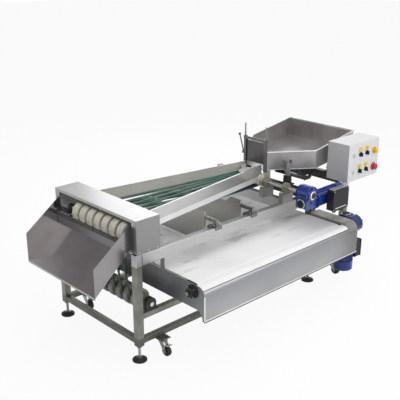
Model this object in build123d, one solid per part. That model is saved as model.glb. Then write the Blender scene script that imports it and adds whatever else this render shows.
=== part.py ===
from build123d import *
import math
import os

os.makedirs("parts", exist_ok=True)

# Sizes in millimetres. Places are measured from the machine datum, the outer corner of the front left leg on
# the floor: X along the lane, Y to the back, Z up. The saved parts are shifted so that the origin is the
# centre of the footprint.

# Welded frame
LEG = 50
RAIL = 40
TUBE_WALL = 2
TUBE_CORNER = 4
FRAME_LENGTH = 1817
FRAME_WIDTH = 912
STAND_X = 2225
LEG_BOTTOM = 111
BOTTOM_RAIL_Z = 143
MID_RAIL_Z = 323
BEAM_TOP = 768
BEAM_HEIGHT = 80
STAND_TOP = 930
TAIL_BEAM_X = 1505
DECK_XS = (1640, 2150)
DECK_HEIGHT = 70
FRONT_Y = LEG / 2
REAR_Y = FRAME_WIDTH - LEG / 2

# Levelling feet and casters
FOOT_RADIUS = 50
FOOT_PAD = 14
STEM_RADIUS = 8
CASTER_XS = (192, 2060)
CASTER_YS = (-18, 881)
CASTER_TRAIL = 40
WHEEL_RADIUS = 37
WHEEL_WIDTH = 28
WHEEL_LIFT = 1

# Grading lane
CENTRE_Y = 374
LANE_TOP = 1000
LANE_BEND = 918
LANE_BOTTOM = 887
LANE_FLARE = 15
LANE_X = (202, 1474)
LANE_HALF = (284, 89)
SHEET = 3

# Cords, pulleys and their shafts
CORDS = 6
PULLEYS = CORDS + 1
CORD_RADIUS = 7.5
RUN_GAP = 0.3
ROLL_GAP = 1.5
HEAD_X, HEAD_Z, HEAD_PITCH, HEAD_WRAP = 35, 890, 83, 46
TAIL_X, TAIL_Z, TAIL_PITCH, TAIL_WRAP = 1470, 880, 24.5, 52
TAKE_UP_X, TAKE_UP_Z, TAKE_UP_WRAP = 120, 390, 46
IDLER_WRAP, IDLER_Z = 35, 868
CORD_BEND = 200
EASE = 0.96
PULLEY_WIDTH = 58
PULLEY_RIM = 70
RIM_ROUND = 9
SCREW_RADIUS = 4.5
SCREW_DROPS = (4, 22)
SHAFT_RADIUS = 15
HEAD_SHAFT_RADIUS = 12.5
IDLER_SHAFT_RADIUS = 10
SHAFT_FIT = 0.05
PILLOW_FOOT = 12
TAKE_UP_RIM = 68
TAKE_UP_WIDTH = 44

# Hood and chute
HOOD_X = (8, 200)
HOOD_SHEET = 2
HOOD_RETURN = 47
HOOD_LIP = 20
CHUTE_LIP_X, CHUTE_LIP_Z = -280, 549
CHUTE_EDGE_Z = 747
CHUTE_SHOULDER = (-14, 945)
CHUTE_Y = (60, 854)
CHUTE_SLOPE = 40.5
CHUTE_FLOOR_END = -24
CHUTE_UPSTAND = 832
CHUTE_HEM = 14
SPOUT_X = (1420, 1472, 1496)
SPOUT_RIM = 34

# Cross belt conveyor
BELT_X = (252, 1724)
BELT_SHEET = 4
ROLLER_RADIUS = 54
ROLLER_WALL = 5
ROLLER_END = 12
STUB = 52
ROLLER_Z = 545
FRONT_ROLLER_Y = -272
REAR_ROLLER_Y = 790
BELT_SHAFT = 12.5
BOLT_CIRCLE = 38
PLATE_X = (234, 1736)
PLATE = 6
PLATE_TOP = 600
PLATE_BOTTOM = 430
PLATE_END_Y = 902
TAB = 38
NOSE_X = (PLATE_X[0] - SHEET, PLATE_X[1] + PLATE)
NOSE_Y = -384
NOSE_RADIUS = 53
NOSE_SPLIT = 36
SKIRT_BOTTOM = 368
SKIRT_RETURN = 22
GUARD_X = 1850
GUARD_TOP = 618
GUARD_NOSE = 65
GUARD_BACK_Y = -4

# Dividers
DIVIDER_XS = (728, 1089)
DIVIDER_Y = (132, 812)
DIVIDER_BOTTOM = 608
DIVIDER_TOP = 800
DIVIDER_NECK = 845
DIVIDER_SHOULDER_Y = (240, 290)
ARM_Z = (795, 817)
KNOB_Z = 741
SADDLE_HALF = 30

# Hopper
GATE_X = 1507
MOUTH_HALF = 100
FLARE_X = 1833
BIN_X = 2305
BIN_HALF = 332
FLOOR_Z = (956, 1018)
RIM_Z = (1100, 1184)
RIM_LIP = 12
GATE_TOP = 1200
ROD_TOP = 1300
MOUNT_X = DECK_XS
MOUNT_HALF = (216, 250)
LUG, LUG_Z = 24, 1008
SHOE, SHOE_Z = 30, (960, 1010)
PIN, PIN_Z = 9, 880
POST, POST_Z = 19, 911

# Control box
BOX_X = (1925, 2325)
BOX_Y = (-206, -6)
BOX_Z = (868, 1168)
BRACKET_Z = 790
DOOR_DEPTH = 18
BOX_WALL = 2
HINGE_RADIUS = 4
KNUCKLE = 20
BUTTON_COLUMNS = (2075, 2159, 2263)
BUTTON_ROWS = (1072, 938)
LOCK_X = 1993
STEM = 10.7
BARREL = 8.7

# Gearmotors
GEAR_Y = -175
GEAR_OFFSET = 63
GEAR_WIDTH = 96
GEAR_HALF = 68
CAP = (30, 9)
COVER = (48, 8)
OUTPUT_FLANGE = (60, 14)
FIN, FINS = 7, 18
MOTOR_FLANGE = 12
COWL = 80
GRADER_MOTOR = (62, 340)
BELT_MOTOR = (78, 330)
BELT_GEAR_X = 1937
BELT_TERMINAL_Z = 298
GRADER_TERMINAL = 240

# Whole footprint, which sets the origin
LEFT_END = CHUTE_LIP_X
RIGHT_END = BOX_X[1] + 2 * HINGE_RADIUS
BACK_END = REAR_Y + FOOT_RADIUS
ORIGIN = Pos(-(LEFT_END + RIGHT_END) / 2, -(NOSE_Y + BACK_END) / 2, 0)


def save(name, *solids):
    """Write one node, with its solids at their places in the part's own frame."""
    shapes = [ORIGIN * solid for piece in solids for solid in piece.solids()]
    node = shapes[0] if len(shapes) == 1 else Compound(children=shapes)
    node.label = name
    export_step(node, f"parts/{name}.step")


def along(axis, x, y, z):
    """Sketch plane at a point, facing along +X, +Y or +Z, with its own x to +Y for X, else to +X."""
    facing = {"X": ((0, 1, 0), (1, 0, 0)), "Y": ((1, 0, 0), (0, 1, 0)), "Z": ((1, 0, 0), (0, 0, 1))}
    x_dir, z_dir = facing[axis]
    return Plane(origin=(x, y, z), x_dir=x_dir, z_dir=z_dir)


def block(x, y, z):
    """Solid between the low and high limits given for each axis."""
    middle = Pos(sum(x) / 2, sum(y) / 2, sum(z) / 2)
    return middle * Box(x[1] - x[0], y[1] - y[0], z[1] - z[0])


def bar(axis, start, length, radius, bore=0):
    """Round bar or ring along an axis."""
    section = Circle(radius) - Circle(bore) if bore else Circle(radius)
    return extrude(along(axis, *start) * section, amount=length)


def tube(axis, start, length, width, height):
    """Square or rectangular tube along an axis, centred on its start."""
    section = RectangleRounded(width, height, TUBE_CORNER)
    section -= Rectangle(width - 2 * TUBE_WALL, height - 2 * TUBE_WALL)
    return extrude(along(axis, *start) * section, amount=length)


def side_plate(outline, x, thickness):
    """Plate with a (Y, Z) outline, standing across X."""
    return extrude(along("X", x, 0, 0) * outline, amount=thickness)


def end_plate(outline, y, thickness):
    """Plate with an (X, Z) outline, from y towards the back."""
    facing_front = Plane(origin=(0, y, 0), x_dir=(1, 0, 0), z_dir=(0, -1, 0))
    return extrude(facing_front * outline, amount=-thickness)


def polygon(*points):
    return make_face(Polyline(*points, close=True))


def mirrored(solid):
    """The same piece on the other side of the lane."""
    return mirror(solid, about=Plane(origin=(0, CENTRE_Y, 0), z_dir=(0, 1, 0)))


def pillow_block(x, y, z, height, radius, half_foot, width=34, shaft=SHAFT_RADIUS):
    """Pillow block for a shaft along Y, with its foot the given height below the shaft."""
    neck = 0.96 * radius
    middle = PILLOW_FOOT / 2
    housing = Pos(0, height) * Circle(radius)
    housing += Pos(0, middle) * RectangleRounded(2 * half_foot, PILLOW_FOOT, 3)
    housing += polygon((-neck, middle), (neck, middle), (neck, height), (-neck, height))
    housing -= Pos(0, height) * Circle(shaft + SHAFT_FIT)
    return Pos(x, 0, z - height) * end_plate(housing, y - width / 2, width)


def grooved_pulley(x, y, z, rim, wrap, bore, width):
    """Disc with a rounded rim, on hubs that meet its neighbours' and leave a groove for a cord each side."""
    hub = wrap - CORD_RADIUS - ROLL_GAP
    half, reach = width / 2, HEAD_PITCH / 2
    side = [(bore, reach), (hub, reach), (hub, half), (rim, half)]
    corners = side + [(radius, -across) for radius, across in reversed(side)]
    rounds = [RIM_ROUND if place[0] == rim else 0 for place in corners]
    profile = make_face(FilletPolyline(*corners, radius=rounds, close=True))
    pulley = Pos(x, y, z) * revolve(profile, axis=Axis.Y)
    for drop in SCREW_DROPS:
        pulley -= bar("X", (x - rim - 2, y, z - drop), 18, SCREW_RADIUS)
    return pulley


def cord_y(index, pitch):
    return CENTRE_Y + (index - (CORDS - 1) / 2) * pitch


# Welded frame

def side_frame(y, post_top):
    """Legs, hopper stand post, rails and top beam of one long side."""
    inner = (LEG, FRAME_LENGTH - LEG)
    outer = (FRAME_LENGTH, STAND_X - LEG / 2)
    pieces = []
    for x in (LEG / 2, FRAME_LENGTH - LEG / 2):
        pieces.append(tube("Z", (x, y, LEG_BOTTOM), BEAM_TOP - LEG_BOTTOM, LEG, LEG))
    pieces.append(tube("Z", (STAND_X, y, LEG_BOTTOM), post_top - LEG_BOTTOM, LEG, LEG))
    for x0, x1 in (inner, outer):
        pieces.append(tube("X", (x0, y, BOTTOM_RAIL_Z), x1 - x0, RAIL, RAIL))
        pieces.append(tube("X", (x0, y, BEAM_TOP - BEAM_HEIGHT / 2), x1 - x0, LEG, BEAM_HEIGHT))
    pieces.append(tube("X", (inner[0], y, MID_RAIL_Z), inner[1] - inner[0], RAIL, RAIL))
    return pieces


def cross_rails():
    """Rails that tie the two long sides together."""
    span = FRAME_WIDTH - 2 * LEG
    pieces = []
    for x in (LEG / 2, STAND_X):
        pieces.append(tube("Y", (x, LEG, BOTTOM_RAIL_Z), span, RAIL, RAIL))
    pieces.append(tube("Y", (TAIL_BEAM_X, LEG, BEAM_TOP - BEAM_HEIGHT / 2), span, LEG, BEAM_HEIGHT))
    return pieces


def hopper_deck():
    """Cross tubes on the top beams that carry the hopper's mounts."""
    z = BEAM_TOP + DECK_HEIGHT / 2
    return [tube("Y", (x, 0, z), FRAME_WIDTH, LEG, DECK_HEIGHT) for x in DECK_XS]


def levelling_foot(x, y):
    """Round pad with a domed top, stem and lock nut under a leg."""
    boss, nut = STEM_RADIUS + 10, STEM_RADIUS + 8
    nut_bottom = LEG_BOTTOM - 14
    pad = Polyline((0, 0), (FOOT_RADIUS, 0), (FOOT_RADIUS, FOOT_PAD - 6), (boss, FOOT_PAD + 14))
    pad += Polyline((boss, FOOT_PAD + 14), (STEM_RADIUS, FOOT_PAD + 18), (STEM_RADIUS, nut_bottom))
    pad += Polyline((STEM_RADIUS, nut_bottom), (nut, nut_bottom), (nut, LEG_BOTTOM), (0, LEG_BOTTOM), (0, 0))
    turned = revolve(Plane.XZ * make_face(pad), axis=Axis.Z)
    return Pos(x, y, 0) * turned


save("front_side_frame", *side_frame(FRONT_Y, STAND_TOP))
save("rear_side_frame", *side_frame(REAR_Y, BEAM_TOP))
save("cross_rails", *cross_rails(), *hopper_deck())
FOOT_XS = (LEG / 2, FRAME_LENGTH - LEG / 2, STAND_X)
save("levelling_feet", *[levelling_foot(x, y) for x in FOOT_XS for y in (FRONT_Y, REAR_Y)])


# Casters

RAIL_UNDERSIDE = BOTTOM_RAIL_Z - RAIL / 2
AXLE_Z = WHEEL_RADIUS + WHEEL_LIFT
CASTER_PLATE = 5
PLATE_HALF = (42, 34)
RACE = (26, 8)
FORK_SHEET = 4
AXLE = 6


def caster_plate(x, y):
    """Bolted top plate with the fixed race of the swivel."""
    rail_y = FRONT_Y if y < CENTRE_Y else REAR_Y
    half_x, half_y = PLATE_HALF
    low = min(y - half_y, rail_y - RAIL / 2)
    high = max(y + half_y, rail_y + RAIL / 2)
    under = RAIL_UNDERSIDE - CASTER_PLATE
    plate = block((x - half_x, x + half_x), (low, high), (under, RAIL_UNDERSIDE))
    return plate + bar("Z", (x, y, under - RACE[1]), RACE[1], RACE[0])


def caster_fork(x, y):
    """Swivel head with two cheeks that reach back to the wheel's axle."""
    top = RAIL_UNDERSIDE - CASTER_PLATE - RACE[1] - RUN_GAP
    half = WHEEL_WIDTH / 2 + 2
    outer = half + FORK_SHEET
    head = Pos(y, top - 8) * Rectangle(48, 8)
    eye = Pos(y - CASTER_TRAIL, AXLE_Z) * Circle(13)
    cheek = make_hull(head.edges() + eye.edges())
    fork = side_plate(cheek, x - outer, FORK_SHEET) + side_plate(cheek, x + half, FORK_SHEET)
    fork += block((x - outer, x + outer), (y - 27, y + 27), (top - 6, top))
    return fork + bar("X", (x - outer - 4, y - CASTER_TRAIL, AXLE_Z), 2 * outer + 8, AXLE)


def caster_wheel(x, y):
    """Moulded tyre on a hub with a waist each side."""
    half = WHEEL_WIDTH / 2
    bore = AXLE + 4 * SHAFT_FIT
    rim = WHEEL_RADIUS - 8
    tread, waist = WHEEL_RADIUS - 3, half - 6
    section = Polyline((bore, -half), (bore + 5, -half), (bore + 7, -waist), (rim - 4, -waist), (rim, -half))
    section += Polyline((rim, -half), (tread, -half), (WHEEL_RADIUS, 5 - half), (WHEEL_RADIUS, half - 5))
    section += Polyline((WHEEL_RADIUS, half - 5), (tread, half), (rim, half), (rim - 4, waist))
    section += Polyline((rim - 4, waist), (bore + 7, waist), (bore + 5, half), (bore, half), (bore, -half))
    turned = revolve(make_face(section), axis=Axis.Y)
    return Pos(x, y - CASTER_TRAIL, AXLE_Z) * (Rot(0, 0, 90) * turned)


def brake_pedal(x, y):
    """Foot pedal over the wheel, hinged between the fork's cheeks."""
    z = AXLE_Z + WHEEL_RADIUS + 7
    half = WHEEL_WIDTH / 2 + 1.5
    outline = polygon((y - 48, z - 3), (y - 40, z + 4), (y - 92, z + 16), (y - 96, z + 10))
    return side_plate(outline, x - half, 2 * half)


save("caster_plates", *[caster_plate(x, y) for x in CASTER_XS for y in CASTER_YS])
CASTER_NAMES = {}
for end, caster_x in zip(("left", "right"), CASTER_XS):
    for side, caster_side_y in zip(("front", "rear"), CASTER_YS):
        CASTER_NAMES[f"{side}_{end}"] = (caster_x, caster_side_y)
for name, place in CASTER_NAMES.items():
    save(f"{name}_caster_fork", caster_fork(*place))
    save(f"{name}_caster_wheel", caster_wheel(*place))


# Hood, chute, lane walls and feed spout

def hood():
    """Folded cover over the head pulleys, open to the chute."""
    x0, x1 = HOOD_X
    t = HOOD_SHEET
    back = FRAME_WIDTH + t
    walls = (BEAM_TOP, LANE_TOP - t)
    lane = (CENTRE_Y - LANE_HALF[0] - SHEET, CENTRE_Y + LANE_HALF[0] + SHEET)
    folded = block((x0, x1), (-t, back), (LANE_TOP - t, LANE_TOP))
    folded += block((x0, x1), (-t, 0), walls) + block((x0, x1), (FRAME_WIDTH, back), walls)
    folded += block((x0, x0 + t), (-t, HOOD_RETURN), walls)
    folded += block((x0, x0 + t), (FRAME_WIDTH - HOOD_RETURN, back), walls)
    folded += block((x0, x0 + t), (0, FRAME_WIDTH), (LANE_TOP - HOOD_LIP, LANE_TOP))
    folded += block((x1 - t, x1), (0, lane[0]), walls) + block((x1 - t, x1), (lane[1], FRAME_WIDTH), walls)
    return folded


def chute_level(x):
    """Height of the chute's floor at a place along X."""
    return CHUTE_LIP_Z + (x - CHUTE_LIP_X) * math.tan(math.radians(CHUTE_SLOPE))


def discharge_chute():
    """Sloping floor with an upstand under the pulleys, between two wings flanged to the hood's returns."""
    t = HOOD_SHEET
    drop = t / math.cos(math.radians(CHUTE_SLOPE))
    flange_x = HOOD_X[0] - t
    hem_x, back = CHUTE_LIP_X + t, CHUTE_FLOOR_END - t
    wing = polygon(
        (CHUTE_LIP_X, CHUTE_LIP_Z),
        (CHUTE_LIP_X, CHUTE_EDGE_Z),
        CHUTE_SHOULDER,
        (HOOD_X[0], CHUTE_SHOULDER[1]),
        (HOOD_X[0], chute_level(HOOD_X[0])),
    )
    floor = polygon(
        (CHUTE_LIP_X, CHUTE_LIP_Z),
        (back, chute_level(back)),
        (back, CHUTE_UPSTAND),
        (CHUTE_FLOOR_END, CHUTE_UPSTAND),
        (CHUTE_FLOOR_END, chute_level(CHUTE_FLOOR_END) - drop),
        (hem_x, chute_level(hem_x) - drop),
        (hem_x, CHUTE_LIP_Z - CHUTE_HEM),
        (CHUTE_LIP_X, CHUTE_LIP_Z - CHUTE_HEM),
    )
    near, far = CHUTE_Y
    chute = end_plate(floor, near, far - near)
    flange_z = (BEAM_TOP + 10, CHUTE_SHOULDER[1])
    for y0, y1, edge in ((near, near + t, HOOD_RETURN - 30), (far - t, far, FRAME_WIDTH - HOOD_RETURN + 30)):
        chute += end_plate(wing, y0, t)
        chute += block((flange_x, HOOD_X[0]), (min(y0, edge), max(y1, edge)), flange_z)
    return chute


def lane_wall():
    """Folded wall along the near edge of the fan of cords."""
    x0, x1 = LANE_X
    y0 = CENTRE_Y - LANE_HALF[0]
    y1 = CENTRE_Y - LANE_HALF[1]
    length = math.hypot(x1 - x0, y1 - y0)
    c, s = (x1 - x0) / length, (y1 - y0) / length
    across = Plane(origin=(x0, y0, 0), x_dir=(-s, c, 0), z_dir=(c, s, 0))
    t = SHEET
    section = polygon(
        (0, LANE_TOP),
        (0, LANE_BEND),
        (-LANE_FLARE, LANE_BOTTOM),
        (t - LANE_FLARE, LANE_BOTTOM),
        (t, LANE_BEND - t),
        (t, LANE_TOP - t),
        (10, LANE_TOP - t),
        (10, LANE_TOP),
    )
    wall = extrude(across * section, amount=length)
    return wall - bar("Y", (TAIL_X, CENTRE_Y - 400, TAIL_Z), 400, TAIL_WRAP + 4)


def feed_spout():
    """Round-nosed tongue that leads from the gate onto the cords, with a rim along its sides."""
    half = LANE_HALF[1] - 14
    z = TAIL_Z + TAIL_WRAP + CORD_RADIUS + SHEET
    nose_x, rim_end, end = SPOUT_X
    nose = Pos(nose_x, CENTRE_Y) * Circle(half)
    nose += Pos((nose_x + end) / 2, CENTRE_Y) * Rectangle(end - nose_x, 2 * half)
    tongue = extrude(Pos(0, 0, z) * nose, amount=SHEET)
    sides = (nose - offset(nose, amount=-SHEET)) & (
        Pos((nose_x + rim_end) / 2, CENTRE_Y) * Rectangle(rim_end - nose_x, 2 * half))
    return tongue + extrude(Pos(0, 0, z) * sides, amount=SPOUT_RIM)


save("hood", hood())
save("discharge_chute", discharge_chute())
save("lane_walls", lane_wall(), mirrored(lane_wall()), feed_spout())


# Grading cords: head pulley, down to the take-up, over the return idler and back to the tail drum

def cord_corners():
    """Corners of a cord's loop in (X, Z), with the turn's radius at each."""
    dx, dz = HEAD_X - TAKE_UP_X, HEAD_Z - TAKE_UP_Z
    reach = math.hypot(dx, dz)
    ux, uz = dx / reach, dz / reach
    start_x, start_z = TAKE_UP_X - TAKE_UP_WRAP * uz, TAKE_UP_Z + TAKE_UP_WRAP * ux
    top, bottom = HEAD_Z + HEAD_WRAP, TAKE_UP_Z - TAKE_UP_WRAP
    down_x, tail_x = TAKE_UP_X + TAKE_UP_WRAP, TAIL_X + TAIL_WRAP
    rise = math.atan2(IDLER_Z + IDLER_WRAP - TAIL_Z + TAIL_WRAP, tail_x - down_x)
    tail_low = TAIL_Z - TAIL_WRAP / math.cos(rise) - TAIL_WRAP * math.tan(rise)
    idler_top = IDLER_Z + IDLER_WRAP * math.tan(math.pi / 4 + rise / 2)
    return {
        "tail_top": (tail_x, TAIL_Z + TAIL_WRAP, EASE * TAIL_WRAP),
        "tail_bottom": (tail_x, tail_low, EASE * TAIL_WRAP),
        "idler": (down_x, idler_top, IDLER_WRAP),
        "take_up_right": (down_x, bottom, EASE * TAKE_UP_WRAP),
        "take_up_left": (start_x + ux / uz * (bottom - start_z), bottom, EASE * TAKE_UP_WRAP),
        "head": (start_x + ux / uz * (top - start_z), top, HEAD_WRAP),
    }


CORNERS = cord_corners()
IDLER_X = CORNERS["idler"][0] + IDLER_WRAP


def cord(index):
    """Top run and return of one cord, which meet face to face past the head pulleys' rims."""
    tail_y, head_y = cord_y(index, TAIL_PITCH), cord_y(index, HEAD_PITCH)
    bend = Vector(HEAD_X + PULLEY_RIM, head_y, HEAD_Z + HEAD_WRAP)
    lean = (head_y - tail_y) / (TAIL_X - bend.X)
    points, radii = [], []
    for name, (x, z, radius) in CORNERS.items():
        y = tail_y + lean * (TAIL_X - x) if name.startswith("tail") else head_y
        points.append(Vector(x, y, z))
        radii.append(radius)
    run = (points[0] - bend).normalized()
    tail_end = points[0] - run * (TAIL_WRAP + 4)
    head_end = bend + run * (CORD_BEND / 8)
    section = Circle(CORD_RADIUS)
    top = extrude(Plane(origin=head_end, z_dir=run) * section, amount=(tail_end - head_end).length)
    path = FilletPolyline(tail_end, *points, bend, head_end, radius=radii + [CORD_BEND])
    back = sweep(Plane(origin=tail_end, z_dir=run) * section, path=path)
    return top, back


cords = [cord(index) for index in range(CORDS)]
save("grading_cord_runs", *[top for top, back in cords])
save("grading_cord_returns", *[back for top, back in cords])


# Shafts and pulleys that the cords run on

HEAD_SHAFT_Y = (10, 792)
TAKE_UP_SHAFT_Y = (-2, FRAME_WIDTH + 2)
IDLER_SHAFT_Y = (88, 660)
TAIL_SHAFT_Y = (GEAR_Y - GEAR_WIDTH / 2 - 10, 540)
TAIL_DRUM_HALF = 84


def return_idler():
    """Plain roller on a shaft, over which the cords turn back."""
    y0, y1 = IDLER_SHAFT_Y
    place = (IDLER_X, y0, IDLER_Z)
    roller = bar("Y", (IDLER_X, y0 + 27, IDLER_Z), y1 - y0 - 54, IDLER_WRAP - CORD_RADIUS - ROLL_GAP)
    return bar("Y", place, y1 - y0, IDLER_SHAFT_RADIUS) + roller


def tail_drum():
    """Lagged drum with end flanges on the driven shaft."""
    y0, y1 = TAIL_SHAFT_Y
    low = CENTRE_Y - TAIL_DRUM_HALF
    drum = bar("Y", (TAIL_X, low, TAIL_Z), 2 * TAIL_DRUM_HALF, TAIL_WRAP - CORD_RADIUS - ROLL_GAP)
    for y in (low - 5, CENTRE_Y + TAIL_DRUM_HALF):
        drum += bar("Y", (TAIL_X, y, TAIL_Z), 5, TAIL_WRAP - 4)
    return drum + bar("Y", (TAIL_X, y0, TAIL_Z), y1 - y0, SHAFT_RADIUS)


def shaft(x, limits, z, radius):
    return bar("Y", (x, limits[0], z), limits[1] - limits[0], radius)


save("head_shaft", shaft(HEAD_X, HEAD_SHAFT_Y, HEAD_Z, HEAD_SHAFT_RADIUS))
save("take_up_shaft", shaft(TAKE_UP_X, TAKE_UP_SHAFT_Y, TAKE_UP_Z, SHAFT_RADIUS))
PULLEY_YS = [cord_y(index - 0.5, HEAD_PITCH) for index in range(PULLEYS)]
HEAD_PULLEY = (PULLEY_RIM, HEAD_WRAP, HEAD_SHAFT_RADIUS, PULLEY_WIDTH)
TAKE_UP_PULLEY = (TAKE_UP_RIM, TAKE_UP_WRAP, SHAFT_RADIUS, TAKE_UP_WIDTH)
save("head_pulleys", *[grooved_pulley(HEAD_X, y, HEAD_Z, *HEAD_PULLEY) for y in PULLEY_YS])
save("take_up_pulleys", *[grooved_pulley(TAKE_UP_X, y, TAKE_UP_Z, *TAKE_UP_PULLEY) for y in PULLEY_YS])
save("return_idler", return_idler())
save("tail_drum", tail_drum())


# Bearings and the brackets that carry them

HEAD_BEARING_YS = (FRONT_Y, 760)
TAIL_BEARING_YS = (FRONT_Y, 222, 526)
TAKE_UP_BLOCK = TAKE_UP_Z - MID_RAIL_Z - RAIL / 2
HEAD_BLOCK = 42
HEAD_HOUSING = 23.5
TAKE_UP_HOUSING = (44, 62)
TAIL_BLOCK = 42
TAIL_HOUSING = (38, 60)
IDLER_BLOCK = 26
IDLER_HOUSING = (22, 40, 16)
IDLER_BEARING_YS = (IDLER_SHAFT_Y[0] + 10, IDLER_SHAFT_Y[1] - 10)


def shaft_bearings():
    blocks = []
    for y in HEAD_BEARING_YS:
        size = (HEAD_BLOCK, HEAD_HOUSING, HEAD_HOUSING, 30, HEAD_SHAFT_RADIUS)
        blocks.append(pillow_block(HEAD_X, y, HEAD_Z, *size))
    for y in (FRONT_Y, REAR_Y):
        blocks.append(pillow_block(TAKE_UP_X, y, TAKE_UP_Z, TAKE_UP_BLOCK, *TAKE_UP_HOUSING))
    for y in TAIL_BEARING_YS:
        blocks.append(pillow_block(TAIL_X, y, TAIL_Z, TAIL_BLOCK, *TAIL_HOUSING))
    for y in IDLER_BEARING_YS:
        blocks.append(pillow_block(IDLER_X, y, IDLER_Z, IDLER_BLOCK, *IDLER_HOUSING, IDLER_SHAFT_RADIUS))
    return blocks


def bearing_brackets():
    """Stands and shelves from the frame up to the pillow blocks."""
    head_foot = HEAD_Z - HEAD_BLOCK
    tail_foot = TAIL_Z - TAIL_BLOCK
    idler_foot = IDLER_Z - IDLER_BLOCK
    head_x = (HEAD_X - HEAD_HOUSING, HEAD_X + HEAD_HOUSING)
    idler_x = (HOOD_X[1] + 1, IDLER_X + IDLER_HOUSING[1])
    pieces = [block(head_x, (5, 45), (BEAM_TOP, head_foot))]
    shelf = block(head_x, (740, FRAME_WIDTH), (head_foot - 10, head_foot))
    shelf += block(head_x, (862, FRAME_WIDTH), (BEAM_TOP, head_foot - 10))
    pieces.append(shelf)
    tail_x = (TAIL_X - TAIL_HOUSING[1], TAIL_BEAM_X + LEG / 2)
    for y in TAIL_BEARING_YS:
        pieces.append(block(tail_x, (y - 20, y + 20), (BEAM_TOP, tail_foot)))
    shelf_z = (idler_foot - 12, idler_foot)
    seat_x = (IDLER_X - IDLER_HOUSING[1], IDLER_X + IDLER_HOUSING[1])
    for bearing_y, inner, outer in zip(IDLER_BEARING_YS, (LEG, FRAME_WIDTH - LEG), (10, FRAME_WIDTH - 10)):
        arm = block(seat_x, (bearing_y - IDLER_HOUSING[2] / 2, bearing_y + IDLER_HOUSING[2] / 2), shelf_z)
        arm += block(idler_x, sorted((bearing_y, outer)), shelf_z)
        arm += block(idler_x, sorted((inner, outer)), (BEAM_TOP, idler_foot - 12))
        pieces.append(arm)
    return pieces


save("shaft_bearings", *shaft_bearings())
save("bearing_brackets", *bearing_brackets())


# Cross belt conveyor

def belt_loop():
    """Flat belt round the two rollers."""
    span = REAR_ROLLER_Y - FRONT_ROLLER_Y
    outer = SlotCenterToCenter(span, 2 * (ROLLER_RADIUS + BELT_SHEET))
    inner = SlotCenterToCenter(span, 2 * ROLLER_RADIUS)
    section = Pos((REAR_ROLLER_Y + FRONT_ROLLER_Y) / 2, ROLLER_Z) * (outer - inner)
    return side_plate(section, BELT_X[0], BELT_X[1] - BELT_X[0])


def belt_roller(y, right_end):
    """Roller tube with end discs on a through shaft."""
    x0, x1 = BELT_X[0] + 4, BELT_X[1] - 4
    radius = ROLLER_RADIUS - RUN_GAP
    roller = bar("X", (x0, y, ROLLER_Z), x1 - x0, radius, radius - ROLLER_WALL)
    for x in (x0, x1 - ROLLER_END):
        roller += bar("X", (x, y, ROLLER_Z), ROLLER_END, radius)
    left_end = PLATE_X[0] - STUB
    return roller + bar("X", (left_end, y, ROLLER_Z), right_end - left_end, BELT_SHAFT)


def conveyor_plate(x):
    """Side plate with hanger tabs under the beams, a rounded nose and a drop at the front."""
    front = NOSE_Y + SHEET
    top, tab = PLATE_TOP, BEAM_TOP - BEAM_HEIGHT
    rear_tab, front_tab = PLATE_END_Y - TAB, (5, 5 + TAB)
    corners = [
        ((PLATE_END_Y, tab), 0),
        ((rear_tab, tab), 0),
        ((rear_tab, top), 0),
        ((front_tab[1], top), 0),
        ((front_tab[1], tab), 0),
        ((front_tab[0], tab), 0),
        ((front_tab[0], top), 0),
        ((front, top), NOSE_RADIUS - SHEET),
        ((front, SKIRT_BOTTOM + SHEET), 0),
        ((front + 16, SKIRT_BOTTOM + SHEET), 0),
        ((front + 40, PLATE_BOTTOM), 40),
        ((PLATE_END_Y, PLATE_BOTTOM), 0),
    ]
    outline = make_face(FilletPolyline(*[c for c, r in corners], radius=[r for c, r in corners], close=True))
    for y in (FRONT_ROLLER_Y, REAR_ROLLER_Y):
        outline -= Pos(y, ROLLER_Z) * Circle(BELT_SHAFT + 2)
    return side_plate(outline, x, PLATE)


def nose_arc(low, high, thickness):
    """Section of the rounded nose between two angles above the level."""
    centre = (NOSE_Y + NOSE_RADIUS, PLATE_TOP + SHEET - NOSE_RADIUS)
    sector = Circle(NOSE_RADIUS) - Circle(NOSE_RADIUS - thickness)
    reach = 2 * NOSE_RADIUS
    edges = [(-reach * math.cos(math.radians(a)), reach * math.sin(math.radians(a))) for a in (low, high)]
    return Pos(*centre) * (sector & polygon((0, 0), *edges))


def nose_strip():
    """White rounded strip that leads from the belt over to the skirt."""
    x0, x1 = NOSE_X
    flat = block((x0, x1), (NOSE_Y + NOSE_RADIUS, FRONT_ROLLER_Y - 40), (PLATE_TOP, PLATE_TOP + SHEET))
    return flat + side_plate(nose_arc(NOSE_SPLIT, 90, SHEET), x0, x1 - x0)


def front_skirt():
    """Folded panel from the nose down, with a return at its foot."""
    x0, x1 = NOSE_X
    level = PLATE_TOP + SHEET - NOSE_RADIUS
    skirt = side_plate(nose_arc(0, NOSE_SPLIT, SHEET), x0, x1 - x0)
    skirt += block((x0, GUARD_X), (NOSE_Y, NOSE_Y + SHEET), (SKIRT_BOTTOM, level))
    skirt += block((x0, GUARD_X), (NOSE_Y, NOSE_Y + SKIRT_RETURN), (SKIRT_BOTTOM, SKIRT_BOTTOM + SHEET))
    return skirt


def guard_outline(inset, bottom):
    """Side outline of the guard, with a rounded nose."""
    front, back, top = NOSE_Y + SHEET + inset, GUARD_BACK_Y - inset, GUARD_TOP - inset
    corners = ((back, top), (front, top), (front, bottom), (back, bottom))
    return make_face(FilletPolyline(*corners, radius=[0, GUARD_NOSE - inset, 0, 0], close=True))


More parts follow.
